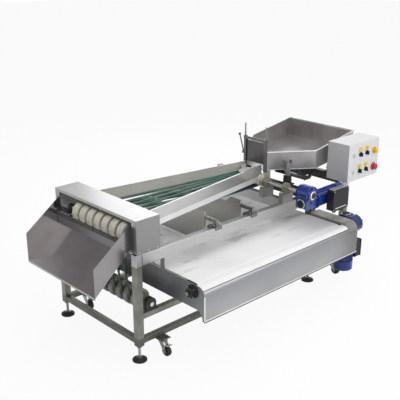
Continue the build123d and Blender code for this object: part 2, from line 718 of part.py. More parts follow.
def drive_guard():
    """Raised cover over the right end of the front roller's shaft, open below."""
    x0, x1 = PLATE_X[1] + PLATE, GUARD_X
    shell = side_plate(guard_outline(0, PLATE_BOTTOM), x0, x1 - x0)
    shell -= side_plate(guard_outline(SHEET, 0), x0 + SHEET, x1 - x0 - 2 * SHEET)
    shell -= block((x0, x0 + SHEET), (NOSE_Y + 2 * SHEET, GUARD_BACK_Y - SHEET), (0, PLATE_TOP - SHEET))
    return shell - bar("X", (x0, FRONT_ROLLER_Y, ROLLER_Z), x1 - x0, BELT_SHAFT + 2)


def slider_bed():
    """Folded tray under the carrying run of the belt."""
    y = (FRONT_ROLLER_Y + 66, REAR_ROLLER_Y - 66)
    top = ROLLER_Z + ROLLER_RADIUS
    x = (PLATE_X[0] + PLATE, PLATE_X[1])
    bed = block(x, y, (top - SHEET, top))
    for edge in (y[0], y[1] - SHEET):
        bed += block(x, (edge, edge + SHEET), (top - 30, top - SHEET))
    return bed


def flange_bearing(x, y, facing):
    """Four-bolt round flange with a hub, on the outside of a side plate."""
    bore = BELT_SHAFT + SHAFT_FIT
    bearing = bar("X", (0, 0, 0), 12, 46, bore) + bar("X", (0, 0, 0), 36, 31, bore)
    for turn in range(4):
        angle = math.radians(45 + 90 * turn)
        bearing += bar("X", (0, BOLT_CIRCLE * math.cos(angle), BOLT_CIRCLE * math.sin(angle)), 19, 5)
    return Pos(x, y, ROLLER_Z) * (Rot(0, 0, 0 if facing > 0 else 180) * bearing)


ROLLER_YS = (FRONT_ROLLER_Y, REAR_ROLLER_Y)
save("conveyor_belt", belt_loop())
save("front_belt_roller", belt_roller(FRONT_ROLLER_Y, BELT_GEAR_X + GEAR_WIDTH / 2 + 16))
save("rear_belt_roller", belt_roller(REAR_ROLLER_Y, PLATE_X[1] + PLATE + STUB))
save("conveyor_plates", *[conveyor_plate(x) for x in PLATE_X])
save("nose_strip", nose_strip())
save("front_skirt", front_skirt())
save("drive_guard", drive_guard())
save("slider_bed", slider_bed())
save(
    "conveyor_bearings",
    *[flange_bearing(PLATE_X[0], y, -1) for y in ROLLER_YS],
    *[flange_bearing(PLATE_X[1] + PLATE, y, 1) for y in ROLLER_YS],
)


# Dividers that part the grades on the belt

def divider(x):
    """Plate across the lane, with an arm and a saddle that rides on the front beam."""
    near, far = DIVIDER_Y
    shoulder = DIVIDER_SHOULDER_Y
    outline = polygon(
        (near, DIVIDER_BOTTOM),
        (far, DIVIDER_BOTTOM),
        (far, DIVIDER_TOP),
        (shoulder[1], DIVIDER_TOP),
        (shoulder[0], DIVIDER_NECK),
        (near, DIVIDER_NECK),
    )
    top = BEAM_TOP + RUN_GAP
    wide = (x - SADDLE_HALF, x + SADDLE_HALF)
    slim = (x - 12, x + 12)
    plate = side_plate(outline, x, SHEET)
    plate += block((x - 10, x + SHEET), (near, near + SHEET), (DIVIDER_BOTTOM, DIVIDER_NECK))
    arm = block(slim, (8, near), ARM_Z) + block(slim, (8, 40), (top + 10, ARM_Z[0] + 1))
    saddle = block(wide, (-6, LEG + 12), (top, top + 10))
    saddle += block(wide, (LEG + 1, LEG + 12), (KNOB_Z - 25, top))
    saddle += block(wide, (-6, -1), (KNOB_Z + 9, top))
    saddle -= bar("Y", (x, LEG, KNOB_Z), 20, 6)
    return plate + arm + saddle


def clamp_knob(x):
    """Lobed hand knob on a screw that presses on the beam."""
    lobes = Circle(18)
    for turn in range(5):
        angle = 2 * math.pi * turn / 5
        lobes += Pos(15 * math.cos(angle), 15 * math.sin(angle)) * Circle(8)
    knob = extrude(along("Y", x, LEG + 26, KNOB_Z) * lobes, amount=20)
    return knob + bar("Y", (x, LEG + 0.5, KNOB_Z), 26, 5.8)


for number, divider_x in enumerate(DIVIDER_XS, start=1):
    save(f"divider_{number}", divider(divider_x))
    save(f"divider_{number}_knob", clamp_knob(divider_x))


# Hopper, gate and vibrator

def hopper_plan(grow):
    """Plan outline of the trough and bin, grown by a margin on its sides and its closed end."""
    mouth, wide = MOUTH_HALF + grow, BIN_HALF + grow
    end = BIN_X + grow
    points = [(GATE_X, -mouth), (FLARE_X, -wide), (end, -wide), (end, wide), (FLARE_X, wide), (GATE_X, mouth)]
    return polygon(*[(x, CENTRE_Y + y) for x, y in points])


def hopper_band(low, high, margin):
    """Space between two levels that follow the hopper's slope, as limits for the plan outline."""
    x0, x1 = GATE_X - margin, BIN_X + 40
    outline = polygon(
        (x0, low[0]), (FLARE_X, low[0]), (x1, low[1]),
        (x1, high[1]), (FLARE_X, high[0]), (x0, high[0]),
    )
    return end_plate(outline, CENTRE_Y - 500, 1000)


def raised(levels, amount):
    return levels[0] + amount, levels[1] + amount


def hopper():
    """Sheet trough and bin with a folded rim, support lugs and feet for the mounts."""
    t = SHEET
    high = raised(RIM_Z, 200)
    tall = 600
    base = Pos(0, 0, FLOOR_Z[0] - 100)
    outer = base * extrude(hopper_plan(t), amount=tall)
    inner = base * extrude(hopper_plan(0), amount=tall)
    body = (outer & hopper_band(FLOOR_Z, RIM_Z, 0)) - (inner & hopper_band(raised(FLOOR_Z, t), high, 10))
    lip = base * extrude(hopper_plan(RIM_LIP), amount=tall) - outer
    body += lip & hopper_band(raised(RIM_Z, -t), RIM_Z, 0)
    body -= inner & hopper_band(raised(FLOOR_Z, t), high, 10)
    for side in (-1, 1):
        x, y = MOUNT_X[0], CENTRE_Y + side * MOUNT_HALF[0]
        reach = sorted((y + side * 20, y - side * 40))
        body += block((x - LUG, x + LUG), reach, (LUG_Z, LUG_Z + 6))
        for edge in (x - LUG, x + LUG - 4):
            body += block((edge, edge + 4), reach, (LUG_Z + 6, LUG_Z + 26))
        body += bar("Z", (x, y, PIN_Z), LUG_Z - PIN_Z + 2, PIN)
        body += bar("Z", (x, y, POST_Z), LUG_Z - POST_Z, POST)
        x, y = MOUNT_X[1], CENTRE_Y + side * MOUNT_HALF[1]
        body += block((x - SHOE, x + SHOE), (y - SHOE, y + SHOE), SHOE_Z)
        body += bar("Z", (x, y, PIN_Z), SHOE_Z[0] - PIN_Z + 10, PIN)
    return body - (inner & hopper_band(raised(FLOOR_Z, t), high, 10))


def rubber_mount(x, y):
    """Ribbed rubber sleeve on a cup that holds the hopper's foot."""
    deck = BEAM_TOP + DECK_HEIGHT
    profile = Polyline((13, deck + 8), (34, deck + 8), (34, deck + 20), (28, deck + 26), (34, deck + 32))
    profile += Polyline((34, deck + 32), (34, deck + 44), (28, deck + 50), (32, deck + 56), (32, deck + 68))
    profile += Polyline((32, deck + 68), (13, deck + 68), (13, deck + 8))
    sleeve = revolve(Plane.XZ * make_face(profile), axis=Axis.Z)
    return Pos(x, y, 0) * sleeve + block((x - 40, x + 40), (y - 40, y + 40), (deck, deck + 8))


def gate_frame():
    """Channel posts at the trough's mouth with a top bar and two threaded rods."""
    z = (FLOOR_Z[0] - 15, GATE_TOP)
    pieces = None
    for side in (-1, 1):
        inner, outer = sorted((CENTRE_Y + side * (MOUTH_HALF - 6), CENTRE_Y + side * (MOUTH_HALF + 16)))
        post = block((GATE_X - 20, GATE_X), (inner, outer), z)
        slot = sorted((CENTRE_Y, CENTRE_Y + side * (MOUTH_HALF + 1)))
        post -= block((GATE_X - 12, GATE_X - 6), slot, z)
        post += bar("Z", (GATE_X - 10, CENTRE_Y + side * (MOUTH_HALF + 9), GATE_TOP), ROD_TOP - GATE_TOP, 5)
        pieces = post if pieces is None else pieces + post
    across = (CENTRE_Y - MOUTH_HALF - 16, CENTRE_Y + MOUTH_HALF + 16)
    return pieces + block((GATE_X - 24, GATE_X - 20), across, (GATE_TOP - 22, GATE_TOP))


def gate_plate():
    """Sliding plate with a folded pull at its top."""
    half = MOUTH_HALF + 0.5
    z = (FLOOR_Z[0] + 42, GATE_TOP - 30)
    plate = block((GATE_X - 10.5, GATE_X - 7.5), (CENTRE_Y - half, CENTRE_Y + half), z)
    return plate + block((GATE_X - 7.5, GATE_X + 14), (CENTRE_Y - 60, CENTRE_Y + 60), (z[1] - 3, z[1]))


LEVER_Y = CENTRE_Y + MOUTH_HALF + 18
LEVER_Z = 1062
LEVER_LENGTH = 152


def gate_lever():
    """Cranked clamp lever on the far post, with a round knob."""
    x = GATE_X - 10
    hub = bar("Y", (x, LEVER_Y, LEVER_Z), 16, 13)
    start = Vector(x, LEVER_Y + 8, LEVER_Z)
    lean = Vector(-0.22, 0.1, 1).normalized()
    lever = extrude(Plane(origin=start, z_dir=lean) * Circle(5), amount=LEVER_LENGTH)
    return hub + lever + Pos(start + lean * LEVER_LENGTH) * Sphere(10)


VIBRATOR = (1960, CENTRE_Y, 872)
VIBRATOR_BODY = (52, 85)
VIBRATOR_COVER = (58, 50)


def vibrator_motor():
    """Motor with round end covers, hung under the bin on a bracket."""
    x, y, z = VIBRATOR
    radius, half = VIBRATOR_BODY
    body = bar("Y", (x, y - half, z), 2 * half, radius)
    for end in (y - half - VIBRATOR_COVER[1], y + half):
        body += bar("Y", (x, end, z), VIBRATOR_COVER[1], VIBRATOR_COVER[0])
    saddle = polygon((x - 70, z + 40), (x + 70, z + 40), (x + 90, z + 90), (x - 90, z + 74))
    foot = end_plate(saddle, y - 70, 140)
    space = hopper_band((FLOOR_Z[0] - 400, FLOOR_Z[1] - 400), FLOOR_Z, 0)
    return body + (foot & space)


save("hopper", hopper(), gate_frame())
MOUNTS = [(x, CENTRE_Y + side * half) for x, half in zip(MOUNT_X, MOUNT_HALF) for side in (-1, 1)]
save("rubber_mounts", *[rubber_mount(x, y) for x, y in MOUNTS])
save("gate_plate", gate_plate())
save("gate_lever", gate_lever())
save("vibrator_motor", vibrator_motor())


# Gearmotors

def finned_motor(radius, length):
    """Motor along +Z from its flange: flange, finned body and fan cowl."""
    body = Circle(radius - FIN)
    for turn in range(FINS):
        body += Rot(0, 0, 360 / FINS * turn) * (Pos(radius - FIN + 1, 0) * Rectangle(2 * FIN - 2, 4))
    finned = bar("Z", (0, 0, 0), MOTOR_FLANGE, radius + 8)
    finned += extrude(Pos(0, 0, MOTOR_FLANGE) * body, amount=length - MOTOR_FLANGE - COWL)
    cowl = bar("Z", (0, 0, length - COWL), COWL, radius + 1)
    return finned + fillet(cowl.edges().group_by(Axis.Z)[-1], 10)


def terminal_box(w, h, d):
    """Box with a lid on a neck, its back on the motor at the origin, facing +X."""
    box = Pos(d / 2 + 10, 0, 0) * Box(d, w, h)
    lid = Pos(d + 13, 0, 0) * Box(6, w + 6, h + 6)
    neck = Pos(-4, 0, 0) * Box(30, w - 60, h - 80)
    return fillet((box + lid).edges().filter_by(Axis.X), 5) + neck


def worm_gearbox():
    """Worm gear housing about an output shaft along Y: ribbed cover in front, flange behind, worm below."""
    half = GEAR_WIDTH / 2
    outline = Circle(66) + Pos(0, -GEAR_OFFSET) * RectangleRounded(2 * GEAR_HALF, 84, 20)
    outline += Pos(0, -GEAR_OFFSET / 2) * Rectangle(120, GEAR_OFFSET)
    housing = end_plate(outline, -half, GEAR_WIDTH)
    housing += bar("Y", (0, -half - COVER[1], 0), GEAR_WIDTH + 2 * COVER[1], COVER[0])
    housing += bar("Y", (0, half, 0), OUTPUT_FLANGE[1], OUTPUT_FLANGE[0])
    rib = block((-3, 3), (-half - 6, 0), (40, 64))
    for turn in range(6):
        housing += Rot(0, 60 * turn, 0) * rib
    return housing - bar("Y", (0, -GEAR_WIDTH, 0), 2 * GEAR_WIDTH, SHAFT_RADIUS + SHAFT_FIT)


worm_z = TAIL_Z - GEAR_OFFSET
grader_gearbox = Pos(TAIL_X, GEAR_Y, TAIL_Z) * worm_gearbox()
grader_gearbox += bar("X", (TAIL_X - GEAR_HALF - CAP[1], GEAR_Y, worm_z), CAP[1], CAP[0])
save("grader_gearbox", grader_gearbox)
grader_motor = Pos(TAIL_X + GEAR_HALF, GEAR_Y, worm_z) * (Rot(0, 90, 0) * finned_motor(*GRADER_MOTOR))
grader_side = Pos(TAIL_X + GRADER_TERMINAL, GEAR_Y - GRADER_MOTOR[0], worm_z)
grader_motor += grader_side * (Rot(0, 0, -90) * terminal_box(180, 160, 58))
save("grader_motor", grader_motor)

worm_y = FRONT_ROLLER_Y + GEAR_OFFSET
belt_gearbox = Rot(0, 0, 90) * (Rot(0, -90, 0) * worm_gearbox())
belt_gearbox = Pos(BELT_GEAR_X, FRONT_ROLLER_Y, ROLLER_Z) * belt_gearbox
belt_gearbox += bar("Z", (BELT_GEAR_X, worm_y, ROLLER_Z + GEAR_HALF), CAP[1], CAP[0])
save("belt_gearbox", belt_gearbox)
belt_motor = Pos(BELT_GEAR_X, worm_y, ROLLER_Z - GEAR_HALF) * (Rot(180, 0, 0) * finned_motor(*BELT_MOTOR))
belt_motor += Pos(BELT_GEAR_X + BELT_MOTOR[0], worm_y, BELT_TERMINAL_Z) * terminal_box(110, 140, 66)
save("belt_motor", belt_motor)


# Control box

def control_box():
    """Sheet enclosure, open to the door, with hinge knuckles on its right side."""
    x, z = BOX_X, BOX_Z
    y = (BOX_Y[0] + DOOR_DEPTH + 1, BOX_Y[1])
    w = BOX_WALL
    shell = block(x, y, z) - block((x[0] + w, x[1] - w), (y[0], y[1] - w), (z[0] + w, z[1] - w))
    leaf_x, leaf_y = (x[1] - 1, x[1] + HINGE_RADIUS), (y[0] + HINGE_RADIUS, y[0] + 2 * HINGE_RADIUS)
    for level in (z[0] + 50, z[1] - 90):
        shell += bar("Z", (leaf_x[1], leaf_y[0], level), KNUCKLE, HINGE_RADIUS)
        shell += block(leaf_x, leaf_y, (level, level + KNUCKLE))
    return shell


HINGE = (BOX_X[1] + HINGE_RADIUS, BOX_Y[0] + DOOR_DEPTH + 1 + HINGE_RADIUS)


def box_door():
    """Folded door with holes for the controls and knuckles beside those of the box."""
    x, z = BOX_X, BOX_Z
    y = (BOX_Y[0], BOX_Y[0] + DOOR_DEPTH)
    w = BOX_WALL
    door = block(x, y, z) - block((x[0] + w, x[1] - w), (y[0] + w, y[1]), (z[0] + w, z[1] - w))
    door = fillet(door.edges().filter_by(Axis.Z).group_by(Axis.Y)[0], 1.5)
    for row in BUTTON_ROWS:
        for column in BUTTON_COLUMNS:
            door -= bar("Y", (column, y[0], row), w, STEM + RUN_GAP)
        door -= bar("Y", (LOCK_X, y[0], row), w, BARREL + RUN_GAP)
    tall = KNUCKLE - 2 * RUN_GAP
    for level in (z[0] + 50 + KNUCKLE + RUN_GAP, z[1] - 90 + KNUCKLE + RUN_GAP):
        door += bar("Z", (*HINGE, level), tall, HINGE_RADIUS)
        door += block((x[1] - w, HINGE[0]), (y[1] - 6, y[1] - 2), (level, level + tall))
        door += block((x[1], HINGE[0]), (y[1] - 6, HINGE[1]), (level, level + tall))
    return door


def selector_knob(x, z):
    """Round collar with a ridge grip, on a stem through the door."""
    y = BOX_Y[0]
    grip = block((x - 5, x + 5), (y - 24, y - 8), (z - 16, z + 16))
    grip = fillet(grip.edges().filter_by(Axis.Y), 4)
    knob = bar("Y", (x, y - 9, z), 9 - RUN_GAP, 18) + grip
    return knob + bar("Y", (x, y - RUN_GAP, z), 30, STEM)


def push_button(x, z, radius, length):
    """Mushroom head on a stem through the door."""
    y = BOX_Y[0]
    crown = 0.7 * radius
    profile = Polyline((0, -30), (STEM, -30), (STEM, 6), (radius - 6, 6))
    profile += Polyline((radius - 6, 6), (radius, 12), (radius, length - 8), (crown, length - 2))
    profile += Polyline((crown, length - 2), (0, length), (0, -30))
    turned = revolve(Plane.XZ * make_face(profile), axis=Axis.Z)
    return Pos(x, y, z) * (Rot(90, 0, 0) * turned)


def door_lock(z):
    """Quarter-turn lock with a slotted barrel."""
    y = BOX_Y[0]
    lock = bar("Y", (LOCK_X, y - 6, z), 6 - RUN_GAP, 14) + bar("Y", (LOCK_X, y - RUN_GAP, z), 16, BARREL)
    return lock - block((LOCK_X - 2, LOCK_X + 2), (y - 6, y - 3), (z - 9, z + 9))


def box_bracket():
    """Back plate and gusset that hold the box on the stand post."""
    post = (STAND_X - LEG / 2, STAND_X + LEG / 2)
    front = BOX_Y[0] + 40
    plate = block((post[0] - 60, post[1] + 30), (BOX_Y[1], 0), (BRACKET_Z, STAND_TOP))
    gusset = polygon((0, BRACKET_Z), (0, BOX_Z[0]), (front, BOX_Z[0]), (front, BOX_Z[0] - 12))
    return plate + side_plate(gusset, post[0] - 12, 6) + side_plate(gusset, post[1] + 6, 6)


save("control_box", control_box())
save("box_door", box_door())
save("box_bracket", box_bracket())
SELECTORS = [(x, z) for z in BUTTON_ROWS for x in BUTTON_COLUMNS[:2]]
for number, (knob_x, knob_z) in enumerate(SELECTORS, start=1):
    save(f"selector_{number}", selector_knob(knob_x, knob_z))
save("yellow_button", push_button(BUTTON_COLUMNS[2], BUTTON_ROWS[0], 20, 34))
save("red_button", push_button(BUTTON_COLUMNS[2], BUTTON_ROWS[1], 24, 36))
save("door_locks", *[door_lock(z) for z in BUTTON_ROWS])
for name in ("front_left", "rear_left"):
    save(f"{name}_brake_pedal", brake_pedal(*CASTER_NAMES[name]))
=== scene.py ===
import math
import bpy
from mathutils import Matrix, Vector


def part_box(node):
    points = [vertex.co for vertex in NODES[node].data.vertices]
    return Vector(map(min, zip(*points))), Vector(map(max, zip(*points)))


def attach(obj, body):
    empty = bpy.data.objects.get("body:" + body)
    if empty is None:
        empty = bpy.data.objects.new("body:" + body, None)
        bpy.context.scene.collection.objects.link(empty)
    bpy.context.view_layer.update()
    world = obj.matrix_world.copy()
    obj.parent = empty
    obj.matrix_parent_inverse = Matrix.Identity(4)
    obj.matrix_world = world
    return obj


bl_info = {
    "name": "Cord grader looks",
    "version": (1, 0, 0),
    "blender": (4, 5, 0),
    "location": "View3D > Sidebar > Grader",
    "description": "Finishes and small parts of a vegetable sorting machine, built around its CAD frame",
    "category": "Object",
}

from itertools import product

import bmesh
import bpy
from bpy.props import FloatProperty, FloatVectorProperty, PointerProperty
from mathutils import Matrix, Vector

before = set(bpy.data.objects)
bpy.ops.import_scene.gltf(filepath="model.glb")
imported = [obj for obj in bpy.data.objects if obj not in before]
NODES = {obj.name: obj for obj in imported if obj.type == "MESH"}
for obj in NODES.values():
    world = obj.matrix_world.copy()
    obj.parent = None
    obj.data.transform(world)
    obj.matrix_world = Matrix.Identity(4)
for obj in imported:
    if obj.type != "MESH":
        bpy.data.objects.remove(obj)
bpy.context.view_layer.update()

# The machine datum is the outer corner of the front left leg on the floor, and places are in millimetres from it
DATUM = Vector((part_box("front_side_frame")[0].x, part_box("front_side_frame")[0].y, 0))
MM = 0.001
TO_FRONT, TO_BACK = Vector((0, -1, 0)), Vector((0, 1, 0))
TO_LEFT, TO_RIGHT = Vector((-1, 0, 0)), Vector((1, 0, 0))
UP, DOWN = Vector((0, 0, 1)), Vector((0, 0, -1))


def at(x, y, z):
    """A place on the machine, from millimetres to the frame's metres."""
    return DATUM + Vector((x, y, z)) * MM


# Settings

def colour(name, description, default):
    return FloatVectorProperty(
        name=name, description=description, default=default, size=3, min=0, max=1, subtype="COLOR"
    )


def number(name, description, default, subtype="NONE", unit="NONE"):
    return FloatProperty(name=name, description=description, default=default, subtype=subtype, unit=unit)


class FinishSettings(bpy.types.PropertyGroup):
    """Colours of the machine's surfaces."""

    sheet: colour("Sheet steel", "Brushed sheet of the hood, chute and skirt", (0.53, 0.53, 0.525))
    tube: colour("Frame tube", "Satin tube of the frame", (0.20, 0.205, 0.18))
    bright: colour("Bright steel", "Polished shafts, rods and fasteners", (0.68, 0.68, 0.66))
    belt: colour("Belt", "White belt and nose strip", (0.88, 0.88, 0.885))
    cord: colour("Cord", "Round grading cord", (0.05, 0.155, 0.11))
    pulley: colour("Pulley", "Cream plastic of the pulleys and drum", (0.86, 0.82, 0.70))
    blue: colour("Motor blue", "Gloss paint of the motors and gearboxes", (0.012, 0.037, 0.245))
    cabinet: colour("Cabinet", "Textured paint of the control box", (0.70, 0.70, 0.71))
    black: colour("Black", "Iron, rubber and plastic", (0.018, 0.018, 0.019))
    yellow: colour("Yellow", "Legend plates and dome button", (0.86, 0.55, 0.02))
    red: colour("Red", "Stop button", (0.55, 0.014, 0.02))


class StageSettings(bpy.types.PropertyGroup):
    """Camera and light of the studio."""

    camera: FloatVectorProperty(
        name="Camera",
        description="Camera place in the frame",
        default=(-3.5111, -3.5165, 2.5916),
        subtype="XYZ",
        unit="LENGTH",
    )
    heading: number("Heading", "Camera turn from +Y towards +X", math.radians(43.14), "ANGLE", "ROTATION")
    dip: number("Dip", "Camera angle below the horizon", math.radians(19.6), "ANGLE", "ROTATION")
    lens: number("Lens", "Focal length on a 36 mm sensor", 63.77, unit="CAMERA")
    key: number("Key", "Overhead soft light", 102, "POWER", "POWER")
    fill: number("Fill", "Front soft light", 40, "POWER", "POWER")
    back: number("Back", "Low soft light behind, which the level sheets mirror", 42, "POWER", "POWER")
    room: number("Room", "Light from all round, dimmer from the left", 0.64)


class DetailSettings(bpy.types.PropertyGroup):
    """Sizes of small parts."""

    bead: number("Weld bead", "Radius of a weld bead", 0.0028, "DISTANCE", "LENGTH")
    pitch: number("Thread pitch", "Pitch of the visible threads", 0.0035, "DISTANCE", "LENGTH")


# Shader maths

class Wire:
    """A shader socket that takes part in arithmetic and adds the Math nodes that it needs."""

    def __init__(self, finish, socket):
        self.finish = finish
        self.socket = socket

    def math(self, operation, first, second):
        return self.finish.node("Math", {"operation": operation}, {0: first, 1: second})

    def __add__(self, other):
        return self.math("ADD", self, other)

    __radd__ = __add__

    def __sub__(self, other):
        return self.math("SUBTRACT", self, other)

    def __rsub__(self, other):
        return self.math("SUBTRACT", other, self)

    def __mul__(self, other):
        return self.math("MULTIPLY", self, other)

    __rmul__ = __mul__

    def __pow__(self, other):
        return self.math("POWER", self, other)

    def __rpow__(self, other):
        return self.math("POWER", other, self)

    def higher(self, other):
        return self.math("MAXIMUM", self, other)

    def rises(self, start, end):
        """Smooth mask from 0 at the start to 1 at the end, which may be the smaller number."""
        ranges = {"Value": self, "From Min": start, "From Max": end}
        return self.finish.node("MapRange", {"interpolation_type": "SMOOTHSTEP"}, ranges)


class Finish:
    """One procedural material, or the world's."""

    def __init__(self, name, owner=None):
        self.owner = owner or bpy.data.materials.new(name)
        self.owner.use_nodes = True
        self.tree = self.owner.node_tree
        self.tree.nodes.clear()

    def node(self, kind, options=None, sockets=None, out=0):
        """Add a node of a type, set its options, fill or link its sockets, and return one output if it has any."""
        made = self.tree.nodes.new("ShaderNode" + kind)
        for key, value in (options or {}).items():
            setattr(made, key, value)
        for key, value in (sockets or {}).items():
            if isinstance(value, Wire):
                self.tree.links.new(value.socket, made.inputs[key])
            else:
                made.inputs[key].default_value = value
        return Wire(self, made.outputs[out]) if made.outputs else None

    def place(self):
        return self.node("TexCoord", out="Object")

    def along(self, axis):
        return self.node("SeparateXYZ", None, {0: self.place()}, out=axis)

    def ramp(self, axis, start, end):
        """Smooth mask along an axis, from 0 at the start to 1 at the end, in machine millimetres."""
        start, end = (getattr(at(place, place, place), axis.lower()) for place in (start, end))
        return self.along(axis).rises(start, end)

    def from_axis(self, x, z):
        """Distance in metres from a shaft's axis along Y."""
        centre = at(x, 0, z)
        dx, dz = self.along("X") - centre.x, self.along("Z") - centre.z
        return (dx * dx + dz * dz) ** 0.5

    def noise(self, scale, stretch=(1, 1, 1), detail=3, roughness=0.55):
        """Even noise, drawn out along an axis where its stretch is small."""
        spot = self.node("Mapping", None, {"Vector": self.place(), "Scale": stretch})
        sockets = {"Vector": spot, "Scale": scale, "Detail": detail, "Roughness": roughness}
        return self.node("TexNoise", None, sockets, out="Fac")

    def mix(self, factor, first, second):
        """Blend of two colours, each given as three numbers or as a wire."""
        first, second = (c if isinstance(c, Wire) else (*c, 1) for c in (first, second))
        return self.node("Mix", {"data_type": "RGBA"}, {0: factor, 6: first, 7: second}, out=2)

    def surface(self, tone, roughness, skin, uneven=0.1, relief=0.12, depth=0.0006, height=None, **others):
        """Close the material with a surface whose gloss and relief follow a fine skin."""
        bump = self.node("Bump", None, {"Height": height or skin, "Strength": relief, "Distance": depth})
        sockets = {"Base Color": tone, "Roughness": roughness + (skin - 0.5) * uneven, "Normal": bump}
        sockets.update((key.replace("_", " "), value) for key, value in others.items())
        self.node("OutputMaterial", None, {"Surface": self.node("BsdfPrincipled", None, sockets)})
        return self.owner


class Brushed(Finish):
    """Brushed steel, with streaks along its grain and soft handling marks."""

    def __init__(self, name, grain, fineness=260, marks=3.2):
        super().__init__(name)
        self.streaks = self.noise(fineness, grain, detail=4, roughness=0.7)
        self.marks = self.noise(marks, detail=4)

    def sheet(self, dark, light):
        """Tone that drifts between two colours with the marks."""
        return self.mix(self.marks.rises(0.3, 0.7), dark, light)

    def close(self, tone, roughness, metallic=1.0, uneven=(0.08, 0.1), relief=0.04, height=None):
        """Close the material with a gloss that is uneven by the streaks and by the marks."""
        gloss = roughness + (self.marks - 0.5) * uneven[1]
        return self.surface(tone, gloss, self.streaks, uneven[0], relief, height=height, Metallic=metallic)


# Finishes

ALONG_X, ALONG_Y, ALONG_Z = (0.05, 1, 1), (1, 0.05, 1), (1, 1, 0.05)


def shade(tone, factor):
    return tuple(min(1, channel * factor) for channel in tone)


def brushed_steel(name, tone, roughness=0.3, grain=(1, 1, 1), mottle=0.15):
    """Plain brushed stainless with fine bands and dust."""
    f = Brushed(name, grain)
    bands = f.noise(38, grain, detail=2)
    dust = f.noise(90, detail=2).rises(0.62, 0.8)
    tint = f.sheet(shade(tone, 1 - mottle), shade(tone, 1 + mottle))
    weight = (f.streaks * 0.6 + bands * 0.4).rises(0.3, 0.7)
    streaked = f.mix(weight * 0.35, tint, shade(tone, 1.15))
    return f.close(streaked, roughness + dust * 0.04, height=f.streaks + bands * 0.5)


def painted(name, tone, roughness=0.3, orange_peel=0.05, grime=0.35):
    """Paint with orange peel, patches of faint grime and uneven gloss."""
    f = Finish(name)
    peel = f.noise(420, detail=2)
    grimy = f.noise(24, detail=5, roughness=0.65).rises(0.45, 0.75) * grime
    tone = f.mix(grimy, shade(tone, 1.05), shade(tone, 0.55))
    return f.surface(tone, roughness + grimy * 0.35, peel, uneven=0.08, relief=orange_peel, depth=0.0008)


def moulded(name, tone, roughness=0.5, grain=700, dirt_tone=0.6):
    """Moulded plastic or rubber with a fine skin grain and handling dirt."""
    f = Finish(name)
    skin = f.noise(grain, detail=2)
    dirty = f.noise(30, detail=4).rises(0.5, 0.75)
    return f.surface(f.mix(dirty, tone, shade(tone, dirt_tone)), roughness + dirty * 0.18, skin, depth=0.0005)


def dress(material, *names):
    """Give CAD nodes a finish."""
    for name in names:
        mesh = NODES[name].data
        mesh.materials.clear()
        mesh.materials.append(material)


# Mesh building, with sizes in millimetres where no unit is said

def facing(place, direction):
    """Matrix that puts local +Z along a direction at a place."""
    return Matrix.Translation(place) @ direction.to_track_quat("Z", "Y").to_matrix().to_4x4()


def ring(bm, matrix, radius, height, sides, turn=0.0):
    """Corners round the matrix's Z in metres, or the one on it where the radius is 0."""
    if radius == 0:
        return [bm.verts.new(matrix @ Vector((0, 0, height)))]
    angles = [turn + 2 * math.pi * side / sides for side in range(sides)]
    return [bm.verts.new(matrix @ Vector((radius * math.cos(a), radius * math.sin(a), height))) for a in angles]


def join(bm, pairs, sides):
    """Faces between pairs of rings."""
    for low, high in pairs:
        for side in range(sides):
            after = (side + 1) % sides
            corners = low[side % len(low)], low[after % len(low)], high[after % len(high)], high[side % len(high)]
            unique = list(dict.fromkeys(corners))
            if len(unique) > 2:
                bm.faces.new(unique)


def turned(bm, place, direction, profile, sides=24, turn=0.0):
    """Turn a profile of (radius, height) about a direction at a place, closed on the axis where a radius is 0."""
    matrix = facing(place, direction)
    rings = [ring(bm, matrix, radius * MM, height * MM, sides, turn) for radius, height in profile]
    join(bm, zip(rings, rings[1:]), sides)


def hex_bolt(bm, place, direction, radius, height=None):
    """Hex head with a chamfer on a round washer."""
    tall, wide = height or radius * 0.75, radius * 1.12
    washer = [(0, 0), (radius * 1.5, 0), (radius * 1.5, tall * 0.2), (radius * 0.8, tall * 0.24)]
    turned(bm, place, direction, washer, 20)
    head = [(wide, tall * 0.2), (wide, tall * 0.95), (radius * 0.92, tall * 1.15), (0, tall * 1.15)]
    turned(bm, place, direction, head, 6, turn=0.4)


def dome_screw(bm, place, direction, radius):
    """Low dome head with a drive recess."""
    dome = [(1, 0), (0.96, 0.25), (0.7, 0.48), (0.38, 0.55), (0.32, 0.3), (0, 0.3)]
    turned(bm, place, direction, [(across * radius, up * radius) for across, up in dome], 18)


def rod_thread(bm, foot, radius, height, pitch):
    """Ridged upright sleeve that reads as a thread."""
    profile = []
    for turn in range(int(height / pitch)):
        base = turn * pitch
        profile += [(radius, base), (radius * 1.14, base + pitch * 0.5)]
    turned(bm, foot, UP, [(radius * 0.9, 0)] + profile + [(radius * 0.9, height)], 14)


def round_edges(bm, verts, bevel):
    edges = list(dict.fromkeys(edge for vert in verts for edge in vert.link_edges))
    bmesh.ops.bevel(bm, geom=edges, offset=bevel * MM, segments=2, profile=0.6, affect="EDGES")


def slab(bm, low, high, bevel):
    """Box with rounded edges between two corners."""
    low, high = Vector(map(min, low, high)), Vector(map(max, low, high))
    matrix = Matrix.Translation((low + high) / 2) @ Matrix.Diagonal((*(high - low), 1))
    round_edges(bm, bmesh.ops.create_cube(bm, size=1, matrix=matrix)["verts"], bevel)


def plate(bm, corners, depth, bevel):
    """Flat plate with rounded edges, from its outline and the way that it is thick."""
    face = bm.faces.new([bm.verts.new(corner) for corner in corners])
    made = bmesh.ops.extrude_face_region(bm, geom=[face])["geom"]
    moved = [item for item in made if isinstance(item, bmesh.types.BMVert)]
    bmesh.ops.translate(bm, verts=moved, vec=depth)
    round_edges(bm, (*face.verts, *moved), bevel)


